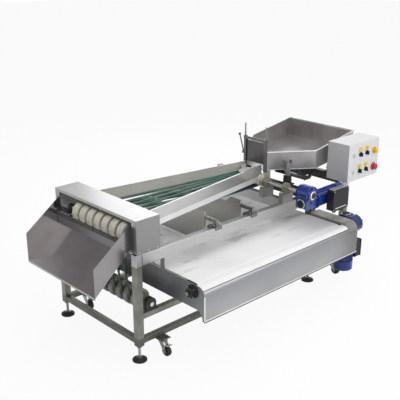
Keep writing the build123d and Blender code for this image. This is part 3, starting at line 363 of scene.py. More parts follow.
def bead(bm, points, radius, closed=True, sides=6):
    """Rippled weld bead of a radius in metres, along straight runs between points."""
    stops = list(points) + ([points[0]] if closed else [])
    path = []
    for start, end in zip(stops, stops[1:]):
        steps = max(2, int((end - start).length / (radius * 1.6)))
        path += [start.lerp(end, step / steps) for step in range(steps)]
    if not closed:
        path.append(stops[-1])
    around = [path[-1], *path, path[0]] if closed else [path[0], *path, path[-1]]
    rings = []
    for index, (before, point, after) in enumerate(zip(around, path, around[2:])):
        ripple = radius * (1 + 0.16 * (index % 2))
        rings.append(ring(bm, facing(point, (after - before).normalized()), ripple, 0, sides))
    join(bm, zip(rings, rings[1:] + rings[:1] if closed else rings[1:]), sides)
    if not closed:
        bm.faces.new(rings[0])
        bm.faces.new(rings[-1])


def bolt_circle(centre, u, v, radius, count, start):
    """Places round a circle across two directions, from a starting angle in degrees."""
    for step in range(count):
        angle = math.radians(start + 360 / count * step)
        yield centre + (u * math.cos(angle) + v * math.sin(angle)) * radius * MM


def put(name, data):
    """New object in the scene."""
    made = bpy.data.objects.new(name, data)
    bpy.context.scene.collection.objects.link(made)
    return made


def piece(name, slot, material, build, *sizes, body="machine"):
    """Make a piece from a building function and its sizes, and put it on its body."""
    bm = bmesh.new()
    build(bm, *sizes)
    bmesh.ops.recalc_face_normals(bm, faces=bm.faces)
    mesh = bpy.data.meshes.new(name)
    bm.to_mesh(mesh)
    bm.free()
    mesh.materials.append(material)
    mesh.shade_smooth()
    mesh.set_sharp_from_angle(angle=math.radians(40))
    made = put(name, mesh)
    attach(made, body)


# Places shared by several pieces, in machine millimetres

LEG, RAIL, BEAM = 50, 40, 80
FRAME_LENGTH, FRAME_WIDTH, STAND_X = 1817, 912, 2225
LOW_RAIL_Z, MID_RAIL_Z, BEAM_Z = 143, 323, 728
LOW_RAIL_TOP, BEAM_TOP, DECK_TOP, POST_TOP = 163, 768, 838, 930
SIDE_YS = (LEG / 2, FRAME_WIDTH - LEG / 2)
LEG_XS = (LEG / 2, FRAME_LENGTH - LEG / 2, STAND_X)
DECK_XS = (1640, 2150)
CENTRE_Y = 374
CASTERS = {"front_left": (192, -18), "rear_left": (192, 881), "front_right": (2060, -18), "rear_right": (2060, 881)}
HEAD_AXIS, TAKE_UP_AXIS, TAIL_AXIS = (35, 890), (120, 390), (1470, 880)
ROLLER_YS, ROLLER_Z = (-272, 790), 545
PLATE_SIDES = ((234, TO_LEFT), (1742, TO_RIGHT))
NOSE_Y, SKIRT_LEFT, SKIRT_RIGHT, SKIRT_FOOT, HEM = -384, 231, 1850, 370, 7
GRADER_GEAR, BELT_GEAR = (TAIL_AXIS[0], -175, TAIL_AXIS[1]), (1937, ROLLER_YS[0], ROLLER_Z)
WORM_OFFSET, WORM_REACH, GEAR_DEPTH, COVER_FACE, FLANGE = 63, 68, 48, 56, 12
GRADER_WORM_Z = GRADER_GEAR[2] - WORM_OFFSET
BELT_WORM_Y = BELT_GEAR[1] + WORM_OFFSET
GRADER_MOTOR, BELT_MOTOR = (62, 340), (78, 330)
GRADER_LID_X, GRADER_LID_Y, BELT_LID_X, BELT_LID_Z = 1710, -311, 2097, 298
ROD_X, MOUTH_X, BEND_X, BIN_X, BIN_LENGTH = 1497, 1508, 1833, 2305, 512
FLOOR_Z, RIM_Z, FLOOR_RISE, RIM_RISE, MOUTH_HALF, BIN_HALF = 956, 1100, 62, 84, 100, 332
BOX_FRONT, BOX_LEFT, BOX_RIGHT = -206, 1960, 2290
BUTTON_X, BUTTON_ROWS = 2263, (1072, 938)
SELECTORS = [(x, row) for row in BUTTON_ROWS for x in (2075, 2159)]
RAIL_LEVELS = (1088, 952)

# Middle of each gearbox cover, the way it faces and the level direction across it
COVERS = (
    (at(GRADER_GEAR[0], GRADER_GEAR[1] - COVER_FACE, GRADER_GEAR[2]), TO_FRONT, TO_RIGHT),
    (at(BELT_GEAR[0] + COVER_FACE, BELT_GEAR[1], BELT_GEAR[2]), TO_RIGHT, TO_BACK),
)
# Middle of each worm, the way its motor runs, two directions across it, and the motor's radius and length
MOTORS = (
    (at(GRADER_GEAR[0], GRADER_GEAR[1], GRADER_WORM_Z), TO_RIGHT, TO_BACK, UP, *GRADER_MOTOR),
    (at(BELT_GEAR[0], BELT_WORM_Y, BELT_GEAR[2]), DOWN, TO_RIGHT, TO_BACK, *BELT_MOTOR),
)


# Frame

def square_loop(centre, across, width, height):
    """Corners of a rail's upright outline."""
    corners = ((-1, -1), (1, -1), (1, 1), (-1, 1))
    return [centre + across * (a * width / 2 * MM) + UP * (b * height / 2 * MM) for a, b in corners]


def rail_ends():
    """(X, level, width, height) where a rail meets an upright."""
    inner, outer = (LEG, FRAME_LENGTH - LEG), (FRAME_LENGTH, STAND_X - LEG / 2)
    rails = [(x, LOW_RAIL_Z, RAIL, RAIL) for x in inner + outer] + [(x, MID_RAIL_Z, RAIL, RAIL) for x in inner]
    return rails + [(x, BEAM_Z, LEG, BEAM) for x in inner + outer]


def frame_welds(bm, radius):
    for y, (x, level, wide, high) in product(SIDE_YS, rail_ends()):
        bead(bm, square_loop(at(x, y, level), TO_BACK, wide, high), radius)
    for x, y in product((LEG / 2, STAND_X), (LEG, FRAME_WIDTH - LEG)):
        bead(bm, square_loop(at(x, y, LOW_RAIL_Z), TO_RIGHT, RAIL, RAIL), radius)


def tube_plugs(bm):
    half = LEG / 2
    for x, (y, out) in product(DECK_XS, ((0, TO_FRONT), (FRAME_WIDTH, TO_BACK))):
        slab(bm, at(x - half, y, BEAM_TOP), at(x + half, y, DECK_TOP) + out * 4 * MM, 1.5)
    legs = [(LEG_XS[1], SIDE_YS[0]), (LEG_XS[1], SIDE_YS[1]), (STAND_X, SIDE_YS[1])]
    caps = [(STAND_X, SIDE_YS[0], POST_TOP, 4, 1.5)] + [(x, y, BEAM_TOP, 3, 1) for x, y in legs]
    for x, y, level, tall, bevel in caps:
        slab(bm, at(x - half, y - half, level), at(x + half, y + half, level + tall), bevel)


def tube_finish(name, tones, raised):
    """Satin tube with painted light: the top beams polished and painted lighter as a sheen, the low rails and leg
    feet painted darker near the floor as shade, and a tone of its own on what stands on the beams.
    """
    f = Brushed(name, (0.06, 1, 0.3), marks=7)
    under = BEAM_TOP - BEAM
    # Polished top beams, also painted lighter as a painted sheen
    polished = f.ramp("Z", under - 4, under + 2)
    # Painted shade: the low rails and the feet of the legs are painted darker near the floor
    low = f.ramp("Z", LOW_RAIL_TOP + 9, LOW_RAIL_TOP + 3)
    satin = f.mix(f.marks.rises(0.35, 0.7), shade(tones.tube, 1.05), shade(tones.tube, 1.55))
    dull = f.mix(low * 0.55, satin, shade(tones.tube, 0.5))
    gleam = f.mix(f.streaks, tones.sheet, shade(tones.sheet, 1.2))
    tone = f.mix(f.ramp("Z", BEAM_TOP + 0.5, BEAM_TOP + 2), f.mix(polished, dull, gleam), raised)
    return f.close(tone, 0.38 - polished * 0.03, uneven=(0.12, 0.12), relief=0.05)


class GRADER_OT_frame(bpy.types.Operator):
    """Satin tubes, weld beads at their joints and plugs in their open ends"""

    bl_idname = "grader.frame"
    bl_label = "Frame"

    def execute(self, context):
        tones = context.scene.grader_finish
        dress(tube_finish("satin_tube", tones, shade(tones.sheet, 1.1)), "front_side_frame", "rear_side_frame")
        # On the cross rails, the deck tubes above the beams are painted dark as the shade under the hopper
        dress(tube_finish("satin_rail", tones, shade(tones.tube, 0.45)), "cross_rails")
        dress(brushed_steel("bracket_steel", shade(tones.sheet, 0.8), 0.42), "bearing_brackets")
        upright = brushed_steel("satin_upright", tones.tube, 0.34, ALONG_Z, 0.18)
        piece("frame_welds", "stainless", upright, frame_welds, context.scene.grader_detail.bead)
        piece("tube_plugs", "black_plastic", moulded("plug_plastic", tones.black), tube_plugs)
        return {"FINISHED"}


# Feet and casters

def stem_threads(bm, pitch):
    """Threaded stems with their lock nuts."""
    for x, y in product(LEG_XS, SIDE_YS):
        rod_thread(bm, at(x, y, 33), 8.2, 62, pitch)
        turned(bm, at(x, y, 99), UP, [(0, 0), (17, 0), (18, 2), (18, 11), (0, 11.5)], 6)


def plate_bolts(bm):
    for (x, y), dx, dy in product(CASTERS.values(), (-30, 30), (-20, 20)):
        hex_bolt(bm, at(x + dx, y + dy, 118), DOWN, 5)


def axle_nuts(bm, x, y):
    for side, out in ((-20.16, TO_LEFT), (20.16, TO_RIGHT)):
        hex_bolt(bm, at(x + side, y - 40, 38), out, 7, 6)


def foot_finish(tones):
    """Rubber pad under a steel cup and stem."""
    f = Finish("foot_rubber_and_steel")
    steel = f.ramp("Z", 24, 28)
    tone = f.mix(steel, tones.black, shade(tones.bright, 0.45))
    return f.surface(tone, 0.6 - steel * 0.3, f.noise(600, detail=2), relief=0.15, Metallic=steel)


class GRADER_OT_feet(bpy.types.Operator):
    """Levelling feet with threaded stems, and casters with bolts and axle nuts"""

    bl_idname = "grader.feet"
    bl_label = "Feet and casters"

    def execute(self, context):
        tones = context.scene.grader_finish
        dress(foot_finish(tones), "levelling_feet")
        forks = [f"{name}_caster_fork" for name in CASTERS]
        dress(brushed_steel("zinc_plate", shade(tones.bright, 0.5), 0.24), "caster_plates", *forks)
        wheels = [f"{name}_caster_wheel" for name in CASTERS]
        dress(moulded("wheel_rubber", tones.black, 0.55, dirt_tone=2.4), *wheels)
        dress(moulded("pedal_plastic", tones.black, 0.45), "rear_left_brake_pedal")
        dress(brushed_steel("pedal_steel", shade(tones.bright, 1.2), 0.25), "front_left_brake_pedal")
        zinc = brushed_steel("zinc_fastener", shade(tones.bright, 0.45), 0.28)
        piece("foot_stem_threads", "zinc", zinc, stem_threads, context.scene.grader_detail.pitch / MM)
        piece("caster_plate_bolts", "zinc", zinc, plate_bolts)
        for name, (x, y) in CASTERS.items():
            piece(f"{name}_axle_nuts", "zinc", zinc, axle_nuts, x, y, body=f"{name}_fork")
        return {"FINISHED"}


# Hood, chute and lane walls

def hood_finish(tones):
    """Brushed sheet, with the folded front face painted darker and rougher as a painted shade on that side."""
    f = Brushed("hood_sheet", ALONG_Y)
    # Front face mask: painted shade on the side that faces the front
    edge = f.ramp("Y", 6, 1)
    sheet = f.sheet(shade(tones.sheet, 0.72), shade(tones.sheet, 0.84))
    return f.close(f.mix(edge, sheet, shade(tones.sheet, 0.58)), 0.26 + edge * 0.06)


def lane_finish(tones):
    """Brushed sheet, with the far wall painted lighter, rougher and less metallic than the near wall: a painted
    light on that wall.
    """
    f = Brushed("lane_sheet", ALONG_X)
    # The far wall is painted lighter than the near wall: painted light
    far_wall_lit = f.ramp("Y", CENTRE_Y - 10, CENTRE_Y + 10)
    base_sheet = f.sheet(shade(tones.sheet, 1.08), shade(tones.sheet, 1.28))
    far_wall_lighter = f.sheet((0.64, 0.62, 0.575), (0.77, 0.75, 0.71))
    return f.close(f.mix(far_wall_lit, base_sheet, far_wall_lighter), 0.32 + far_wall_lit * 0.08, 0.9 - far_wall_lit * 0.7, (0.08, 0.08))


def chute_finish(tones):
    """Polished sheet with painted shade: darker on the near wing, and dark and rougher where it tucks in under the
    pulleys.
    """
    f = Brushed("chute_sheet", ALONG_Y)
    # Painted shade where the chute tucks in under the pulleys, and on the near wing
    tucked_shade = f.ramp("X", -34, -25)
    near = f.ramp("Y", 72, 66)
    sheet = f.sheet((0.42, 0.40, 0.40), (0.50, 0.475, 0.48))
    tone = f.mix(tucked_shade, f.mix(near * 0.6, sheet, shade(tones.sheet, 0.45)), shade(tones.sheet, 0.4))
    return f.close(tone, 0.15 + tucked_shade * 0.2, uneven=(0.06, 0.08), relief=0.03)


def cover_screws(bm):
    for x in (30, 104, 178):
        dome_screw(bm, at(x, -2, 784), TO_FRONT, 5)
        dome_screw(bm, at(x, FRAME_WIDTH + 2, 784), TO_BACK, 5)


class GRADER_OT_sheet_covers(bpy.types.Operator):
    """Hood with its screws, lane walls, and chute with a dark rubber lip that stands in for the shade under the
    pulleys
    """

    bl_idname = "grader.sheet_covers"
    bl_label = "Hood, chute and lane walls"

    def execute(self, context):
        tones = context.scene.grader_finish
        dress(hood_finish(tones), "hood")
        dress(chute_finish(tones), "discharge_chute")
        dress(lane_finish(tones), "lane_walls")
        rubber = moulded("lip_rubber", (0.105, 0.098, 0.098), 0.55)
        piece("cover_screws", "zinc", brushed_steel("cover_screw_steel", tones.bright), cover_screws)
        # The lip is a dark strip put in the shaded gap under the head pulleys: painted shade
        piece("chute_lip", "black_rubber", rubber, slab, at(-27.5, 62, 820), at(-22.5, 852, 851), 1.5)
        return {"FINISHED"}


# Cords and pulleys

def cord_finish(name, tone):
    """Round extruded cord, paler where it is rubbed."""
    f = Finish(name)
    skin = f.noise(160, (0.3, 1, 1))
    rub = f.noise(14, (0.4, 1, 1)).rises(0.4, 0.7)
    tone = f.mix(rub, shade(tone, 0.75), shade(tone, 1.5))
    return f.surface(tone, 0.34, skin, uneven=0.2, relief=0.18, Coat_Weight=0.25)


def pulley_finish(name, tone, axis):
    """Cream plastic, greyed and stained where a cord rubs in the groove."""
    f = Finish(name)
    rubbed = f.from_axis(*axis).rises(0.066, 0.040)
    stain = f.noise(26, detail=4).rises(0.5, 0.75)
    worn = rubbed * 0.55 + stain * 0.4
    tone = f.mix(worn, tone, shade(tone, 0.42))
    return f.surface(tone, 0.42 + worn * 0.2, f.noise(500, detail=2), uneven=0.08, relief=0.08, depth=0.0005)


def drum_finish(tones):
    """Cream lagging on a turned steel shaft."""
    f = Finish("tail_drum_lagging")
    lagged = f.from_axis(*TAIL_AXIS).rises(0.0155, 0.018)
    skin = f.noise(300, (1, 4, 1))
    stain = f.noise(26, detail=4).rises(0.45, 0.75)
    cream = f.mix(stain * 0.5, tones.pulley, shade(tones.pulley, 0.5))
    tone, dull = f.mix(lagged, tones.bright, cream), 0.26 + lagged * 0.2
    return f.surface(tone, dull, skin, uneven=0.12, relief=0.08, depth=0.0005, Metallic=1 - lagged)


def bearing_finish(black):
    """Black iron blocks at the wide end, bare weathered ones at the tail."""
    f = Finish("bearing_iron")
    bare = f.ramp("X", 1300, 1310)
    dust = f.noise(30, detail=4).rises(0.5, 0.75)
    iron = f.mix(dust, black, shade(black, 2.2))
    weathered = f.mix(dust, (0.30, 0.27, 0.21), (0.17, 0.15, 0.12))
    tone = f.mix(bare, iron, weathered)
    return f.surface(tone, 0.48 + dust * 0.15, f.noise(300, detail=2), Metallic=bare * 0.4)


def bearing_bolts(bm):
    """Bolts in the wide feet of the pillow blocks."""
    for (x, z), ys, reach, foot in ((TAKE_UP_AXIS, SIDE_YS, 51, 47), (TAIL_AXIS, (25, 222, 526), 48, 42)):
        for y, side in product(ys, (-reach, reach)):
            hex_bolt(bm, at(x + side, y, z - foot + 12), UP, 7)


class GRADER_OT_cords(bpy.types.Operator):
    """Green cords, cream pulleys, shafts and their bearings"""

    bl_idname = "grader.cords"
    bl_label = "Cords and pulleys"

    def execute(self, context):
        tones = context.scene.grader_finish
        dress(cord_finish("green_cord", tones.cord), "grading_cord_runs")
        # The cord returns are painted darker as the shade under the machine
        dress(cord_finish("dirty_cord", shade(tones.cord, 0.35)), "grading_cord_returns")
        dress(pulley_finish("head_pulley_plastic", tones.pulley, HEAD_AXIS), "head_pulleys")
        # The take-up pulleys are painted darker as the shade under the hood
        dress(pulley_finish("take_up_pulley_plastic", shade(tones.pulley, 0.42), TAKE_UP_AXIS), "take_up_pulleys")
        dress(drum_finish(tones), "tail_drum")
        shaft = brushed_steel("turned_shaft", tones.bright, 0.25, (1, 6, 1))
        dress(shaft, "head_shaft", "take_up_shaft", "return_idler")
        dress(bearing_finish(tones.black), "shaft_bearings")
        piece("bearing_bolts", "zinc", brushed_steel("bearing_bolt_steel", tones.bright), bearing_bolts)
        return {"FINISHED"}


# Cross conveyor

def belt_finish(white):
    """White belt, smudged along its run, and darker in patches under the beam and cords: partly rubbed dirt, partly
    a painted shadow of the beam and lane above.
    """
    f = Finish("white_belt")
    weave = f.noise(420, detail=2)
    smudge = f.noise(4.2, (1, 0.6, 1), detail=5, roughness=0.6).rises(0.46, 0.8)
    scuff = f.noise(60, (1, 0.06, 1)).rises(0.58, 0.8)
    # Patches behind the front beam: dirt and a painted shadow of the beam and lane
    rubs_and_shadow = f.noise(7, (0.5, 1.6, 1), detail=4).rises(0.56, 0.7) * f.ramp("Y", -150, -85)
    soiled = f.mix(smudge * 0.34 + scuff * 0.2, white, shade(white, 0.62))
    return f.surface(f.mix(rubs_and_shadow * 0.45, soiled, shade(white, 0.3)), 0.46 + smudge * 0.1, weave, uneven=0.12)


def guard_finish():
    """Weathered sheet, painted darker as shade where it turns down at the front."""
    f = Brushed("guard_steel", ALONG_Y, marks=9)
    sheet = f.sheet((0.40, 0.385, 0.355), (0.62, 0.60, 0.565))
    return f.close(f.mix(f.ramp("Y", -290, -345) * 0.85, sheet, (0.20, 0.195, 0.185)), 0.38, 0.55)


def skirt_finish():
    """Fine-brushed panel with painted shade: darker towards the top under the belt's nose and towards its far end.
    """
    f = Brushed("skirt_steel", (0.04, 1, 1), 300, 2.6)
    base_sheet = f.sheet((0.385, 0.39, 0.405), (0.45, 0.455, 0.47))
    # Painted shade towards the top under the belt's nose and towards the far end
    panel = f.mix(f.ramp("Z", 400, 575) * 0.8, base_sheet, (0.31, 0.315, 0.33))
    tone = f.mix(f.ramp("X", 1500, 1840) * 0.9, panel, (0.21, 0.21, 0.22))
    return f.close(tone, 0.3, uneven=(0.06, 0.06), relief=0.03)


def conveyor_bolts(bm):
    """Flange bolts and the screws along the side plates."""
    for y, (x, out) in product(ROLLER_YS, PLATE_SIDES):
        for place in bolt_circle(at(x, y, ROLLER_Z), TO_BACK, UP, 38, 4, 45):
            hex_bolt(bm, place + out * 19 * MM, out, 5.5)
    for y, (x, out) in product((-330, -180, -60, 120, 420, 700), PLATE_SIDES):
        if out == TO_LEFT or y > 0:
            dome_screw(bm, at(x, y, 578), out, 5)


def skirt_hem(bm):
    top = SKIRT_FOOT + HEM
    slab(bm, at(SKIRT_LEFT, NOSE_Y - 3, SKIRT_FOOT), at(SKIRT_RIGHT, NOSE_Y + 5, top), 1.5)
    slab(bm, at(SKIRT_LEFT - 1, NOSE_Y - 3, top), at(SKIRT_LEFT + 5, NOSE_Y + 5, ROLLER_Z), 1.5)


class GRADER_OT_conveyor(bpy.types.Operator):
    """White belt on its rollers, side plates, nose and skirt"""

    bl_idname = "grader.conveyor"
    bl_label = "Cross conveyor"

    def execute(self, context):
        tones = context.scene.grader_finish
        dress(belt_finish(tones.belt), "conveyor_belt", "nose_strip")
        dress(brushed_steel("end_plate_steel", (0.27, 0.285, 0.30), 0.42, ALONG_Y, 0.2), "conveyor_plates")
        dress(skirt_finish(), "front_skirt")
        dress(guard_finish(), "drive_guard")
        dress(brushed_steel("bed_steel", tones.sheet, 0.4, ALONG_X), "slider_bed")
        roller = brushed_steel("roller_steel", shade(tones.bright, 0.45), 0.3, (6, 1, 1))
        dress(roller, "front_belt_roller", "rear_belt_roller")
        dress(moulded("flange_iron", tones.black, 0.45, 300, dirt_tone=2.2), "conveyor_bearings")
        bolt = brushed_steel("plate_bolt_steel", shade(tones.bright, 0.5), 0.35)
        piece("conveyor_bolts", "zinc", bolt, conveyor_bolts)
        hem = brushed_steel("hem_steel", shade(tones.bright, 1.3), 0.2, ALONG_X)
        piece("skirt_hem", "stainless", hem, skirt_hem)
        # A dark rubber strip under the hem that stands in for the hem's shadow: painted shade
        shade_strip = at(SKIRT_LEFT, NOSE_Y - 2, SKIRT_FOOT - 9), at(SKIRT_RIGHT, NOSE_Y + 6, SKIRT_FOOT), 2
        piece("skirt_edge_trim", "black_rubber", moulded("edge_rubber", shade(tones.black, 2)), slab, *shade_strip)
        seam = at(SKIRT_LEFT, NOSE_Y + 9, 577), at(PLATE_SIDES[1][0], NOSE_Y + 14, 583), 1
        piece("skirt_seam_strip", "black_plastic", moulded("seam_rubber", tones.black), slab, *seam)
        return {"FINISHED"}


# Gearmotors

def drive_finish(name, blue, dark_ends=(), depth=1.0, coat=0.8):
    """Blue gloss paint, near black beyond each (axis, limit, sign)."""
    f = Finish(name)
    dark = 0
    for axis, limit, sign in dark_ends:
        dark = f.ramp(axis, limit, limit + 2 * sign) + dark
    peel = f.noise(420, detail=2)
    wear = f.noise(24, detail=5, roughness=0.65).rises(0.45, 0.75)
    body = f.mix(wear * 0.7, shade(blue, 1.15 * depth), shade(blue, 0.3 * depth))
    tone, dull = f.mix(dark, body, (0.016, 0.014, 0.022)), 0.22 + wear * 0.15 + dark * 0.2
    gloss = {"Specular IOR Level": 0.25, "Coat Weight": coat - dark * (coat - 0.1), "Coat Roughness": 0.08}
    return f.surface(tone, dull, peel, uneven=0.08, relief=0.06, depth=0.0008, **gloss)


def lug_places():
    """Face of each cast lug round a gearbox cover, and the way it faces."""
    for centre, out, across in COVERS:
        for place in bolt_circle(centre, across, UP, 57, 6, 30):
            yield place, out


def gearbox_lugs(bm):
    for place, out in lug_places():
        turned(bm, place, out, [(0, -14), (11, -14), (10, -1.5), (8.5, 0), (0, 0)], 18)


def cover_bolts(bm):
    """Bolts in the lugs and round the motors' flanges."""
    for place, out in lug_places():
        hex_bolt(bm, place, out, 4.4)
    for worm, out, u, v, radius, _ in MOTORS:
        for place in bolt_circle(worm + out * (WORM_REACH + FLANGE) * MM, u, v, radius + 3.5, 8, 22.5):
            hex_bolt(bm, place, out, 3.2)


def seal_rings(bm):
    for centre, out, _ in COVERS:
        turned(bm, centre, out, [(33, 0), (33, 4), (29, 6), (25, 6), (25, 2), (0, 2)], 28)
    worm_ring = [(29, 0), (37, 0), (37, 3), (35, 5), (30.5, 5), (30.5, 1), (29, 1)]
    turned(bm, at(GRADER_GEAR[0] - WORM_REACH, GRADER_GEAR[1], GRADER_WORM_Z), TO_LEFT, worm_ring, 28)
    turned(bm, at(BELT_GEAR[0], BELT_WORM_Y, BELT_GEAR[2] + WORM_REACH), UP, worm_ring, 28)


def gearbox_plugs(bm):
    """Caps on the covers and closed glands under the terminal boxes."""
    for centre, out, _ in COVERS:
        turned(bm, centre, out, [(22, 1), (22, 5), (17, 8), (8, 8.6), (0, 8.6)])
    gland = [(12, 0), (12, 8), (15, 8), (15, 18), (9, 24), (0, 24)]
    for x in (GRADER_LID_X - 45, GRADER_LID_X + 45):
        turned(bm, at(x, GRADER_LID_Y + 27, GRADER_WORM_Z - 80), DOWN, gland, 12)
    turned(bm, at(BELT_LID_X - 37, BELT_WORM_Y, BELT_LID_Z - 70), DOWN, gland, 12)


def lid_screws(bm):
    for dx, dz in product((-84, 84), (-74, 74)):
        dome_screw(bm, at(GRADER_LID_X + dx, GRADER_LID_Y, GRADER_WORM_Z + dz), TO_FRONT, 4.5)
    for dy, dz in product((-50, 50), (-65, 65)):
        dome_screw(bm, at(BELT_LID_X, BELT_WORM_Y + dy, BELT_LID_Z + dz), TO_RIGHT, 4.5)


def fan_grilles(bm):
    """Ring ridges on the fan cowls' ends."""
    for worm, out, _, _, radius, reach in MOTORS:
        profile = [(radius - 11, -0.5)]
        for step in range(6):
            edge = radius - 12 - 8 * step
            profile += [(edge, 2.5), (edge - 4, 2.5), (edge - 5, 0.4), (edge - 7, 0.4)]
        turned(bm, worm + out * (WORM_REACH + reach) * MM, out, profile + [(0, 0.4)], 28)


def terminal_plate(bm):
    """Bare alloy plate on top of the upper terminal box, and a low bar on its lid."""
    x, y, top, low = GRADER_LID_X, GRADER_LID_Y, GRADER_WORM_Z + 79.5, GRADER_WORM_Z - 66
    slab(bm, at(x - 82, y + 8, top), at(x + 82, y + 61, top + 2), 0.6)
    slab(bm, at(x - 65, y - 1.5, low), at(x + 65, y + 0.5, low + 8), 0.6)


class GRADER_OT_drives(bpy.types.Operator):
    """Blue gearmotors with covers, plugs, terminal boxes and fan grilles"""

    bl_idname = "grader.drives"
    bl_label = "Gearmotors"

    def execute(self, context):
        tones = context.scene.grader_finish
        dark_ends = {
            "grader_gearbox": (("X", GRADER_GEAR[0] - WORM_REACH, -1), ("Y", GRADER_GEAR[1] + GEAR_DEPTH, 1)),
            "belt_gearbox": (("Z", BELT_GEAR[2] + WORM_REACH, 1), ("X", BELT_GEAR[0] - GEAR_DEPTH, -1)),
            "grader_motor": (("Y", GRADER_GEAR[1] - GRADER_MOTOR[0] - 9, -1),),
            "belt_motor": (("X", BELT_GEAR[0] + BELT_MOTOR[0] + 9, 1),),
        }
        # The belt drive's blue is painted darker as a painted shade, and given less coat
        shaded_duller = {"belt_gearbox": (0.55, 0.3), "belt_motor": (0.8, 0.5)}
        for name, ends in dark_ends.items():
            dress(drive_finish(f"{name}_paint", tones.blue, ends, *shaded_duller.get(name, ())), name)
        dark = brushed_steel("lug_bolt_steel", shade(tones.bright, 0.3), 0.35)
        ring_steel = brushed_steel("seal_ring_steel", shade(tones.bright, 1.1), 0.26)
        grille = painted("grille_paint", shade(tones.blue, 0.7), 0.35)
        piece("gearbox_cover_bolts", "dark_steel", dark, cover_bolts)
        piece("gearbox_lugs", "blue_paint", drive_finish("lug_paint", tones.blue), gearbox_lugs)
        piece("gearbox_seal_rings", "zinc", ring_steel, seal_rings)
        piece("gearbox_plugs", "black_plastic", moulded("cover_plug_plastic", tones.black, 0.35), gearbox_plugs)
        piece("terminal_lid_screws", "zinc", brushed_steel("cover_bolt_steel", tones.bright), lid_screws)
        piece("motor_fan_grilles", "blue_paint", grille, fan_grilles)
        piece("terminal_plate", "zinc", brushed_steel("plate_alloy", tones.bright, 0.4), terminal_plate)
        return {"FINISHED"}


# Dividers

def saddle_bolts(bm, x):
    """Bolts on the saddle and where the plate meets its arm."""
    for side in (-20, 20):
        hex_bolt(bm, at(x + side, 22, 778.3), UP, 5.5)
    for y in (70, 110):
        hex_bolt(bm, at(x, y, 817), UP, 5)


def divider_finish(bright):
    """Dull plate with a polished saddle and arm on the front beam."""
    f = Finish("divider_steel")
    leaf = f.ramp("Y", 128, 133)
    streaks = f.noise(200, (1, 0.03, 1))
    marks = f.noise(4, (1, 0.4, 1)).rises(0.3, 0.75)
    dull = f.mix(marks, (0.40, 0.395, 0.37), (0.52, 0.51, 0.485))
    tone = f.mix(leaf, shade(bright, 0.42), dull)
    return f.surface(tone, 0.18 + leaf * 0.14, streaks, uneven=0.08, relief=0.03, Metallic=1.0)


class GRADER_OT_dividers(bpy.types.Operator):
    """Sliding dividers and their black hand knobs"""

    bl_idname = "grader.dividers"
    bl_label = "Dividers"

    def execute(self, context):
        tones = context.scene.grader_finish
        dress(divider_finish(tones.bright), "divider_1", "divider_2")
        dress(moulded("knob_plastic", tones.black, 0.4), "divider_1_knob", "divider_2_knob")
        bolt = brushed_steel("saddle_bolt_steel", tones.bright, 0.25)
        for body, x in (("divider_a", 728), ("divider_b", 1089)):
            piece(f"{body}_bolts", "zinc", bolt, saddle_bolts, x, body=body)
        return {"FINISHED"}


# Hopper

def floor_level(x):
    return FLOOR_Z + max(0, x - BEND_X) * FLOOR_RISE / BIN_LENGTH


def rim_level(x):
    return RIM_Z + max(0, x - BEND_X) * RIM_RISE / BIN_LENGTH


def trough(grow):
    """Plan corners of the trough and bin, from the near side of the mouth round to the far side."""
    near = [(MOUTH_X, MOUTH_HALF + grow), (BEND_X, BIN_HALF + grow), (BIN_X + grow, BIN_HALF + grow)]
    return [(x, CENTRE_Y - y) for x, y in near] + [(x, CENTRE_Y + y) for x, y in reversed(near)]


def hopper_seams(bm, radius):
    """Weld beads along the floor and up the corners, inside and out."""
    for lift, grow in ((2.5, 0), (-0.5, 3)):
        outline = trough(grow)
        floor = [at(x, y, floor_level(x) + lift) for x, y in outline]
        bead(bm, floor, radius, closed=False)
        for (x, y), low in list(zip(outline, floor))[1:-1]:
            high = at(x, y, floor_level(x) + 142 + 0.043 * (x - BEND_X))
            bead(bm, [low, high], radius, closed=False)


def rolled_rim(bm):
    corners = [at(x, y, rim_level(x) - 4) for x, y in trough(6)]
    for start, end in zip(corners, corners[1:]):
        run = end - start
        far = run.length / MM
        edge = [(0, -2), (4.5, -1), (6.5, 0), (6.5, far), (4.5, far + 1), (0, far + 2)]
        turned(bm, start, run.normalized(), edge, 14)


def gate_rods(bm, pitch):
    """Threaded ends of the gate's rods, with two nuts each."""
    for y in (CENTRE_Y - 109, CENTRE_Y + 109):
        rod_thread(bm, at(ROD_X, y, 1200), 5.2, 98, pitch)
        for level in (1201, 1222):
            turned(bm, at(ROD_X, y, level), UP, [(0, 0), (6.8, 0), (7.6, 1.2), (7.6, 7), (6.8, 8), (0, 8)], 6)


def vibrator_cradle(bm):
    """V-shaped plates that stiffen the hopper round the vibrator, and the strip between their feet."""
    arms = [(x, floor_level(x) + 1) for x in (1785, 1840, 2125, 2185)]
    outline = arms[:2] + [(1952, 822), (1990, 822)] + arms[2:] + [(2006, 788), (1934, 788)]
    for y in (CENTRE_Y - 158, CENTRE_Y + 150):
        plate(bm, [at(x, y, z) for x, z in outline], TO_BACK * 8 * MM, 1.5)
    slab(bm, at(1938, CENTRE_Y - 152, 789), at(2002, CENTRE_Y + 152, 797), 1.5)


def lever_finish(tones):
    """Steel lever with a black ball."""
    f = Finish("lever_steel_and_knob")
    ball = f.ramp("Z", 1198, 1200)
    tone, skin = f.mix(ball, shade(tones.bright, 0.4), tones.black), f.noise(500, detail=2)
    return f.surface(tone, 0.3 + ball * 0.15, skin, relief=0.08, depth=0.0005, Metallic=1 - ball)


def hopper_finish():
    """Worn sheet with an uneven sheen, darker on the gate's posts."""
    f = Brushed("hopper_steel", ALONG_Z)
    sheet = f.sheet((0.37, 0.355, 0.35), (0.54, 0.52, 0.515))
    return f.close(f.mix(f.ramp("X", 1512, 1509) * 0.8, sheet, (0.14, 0.14, 0.14)), 0.31, 0.82)


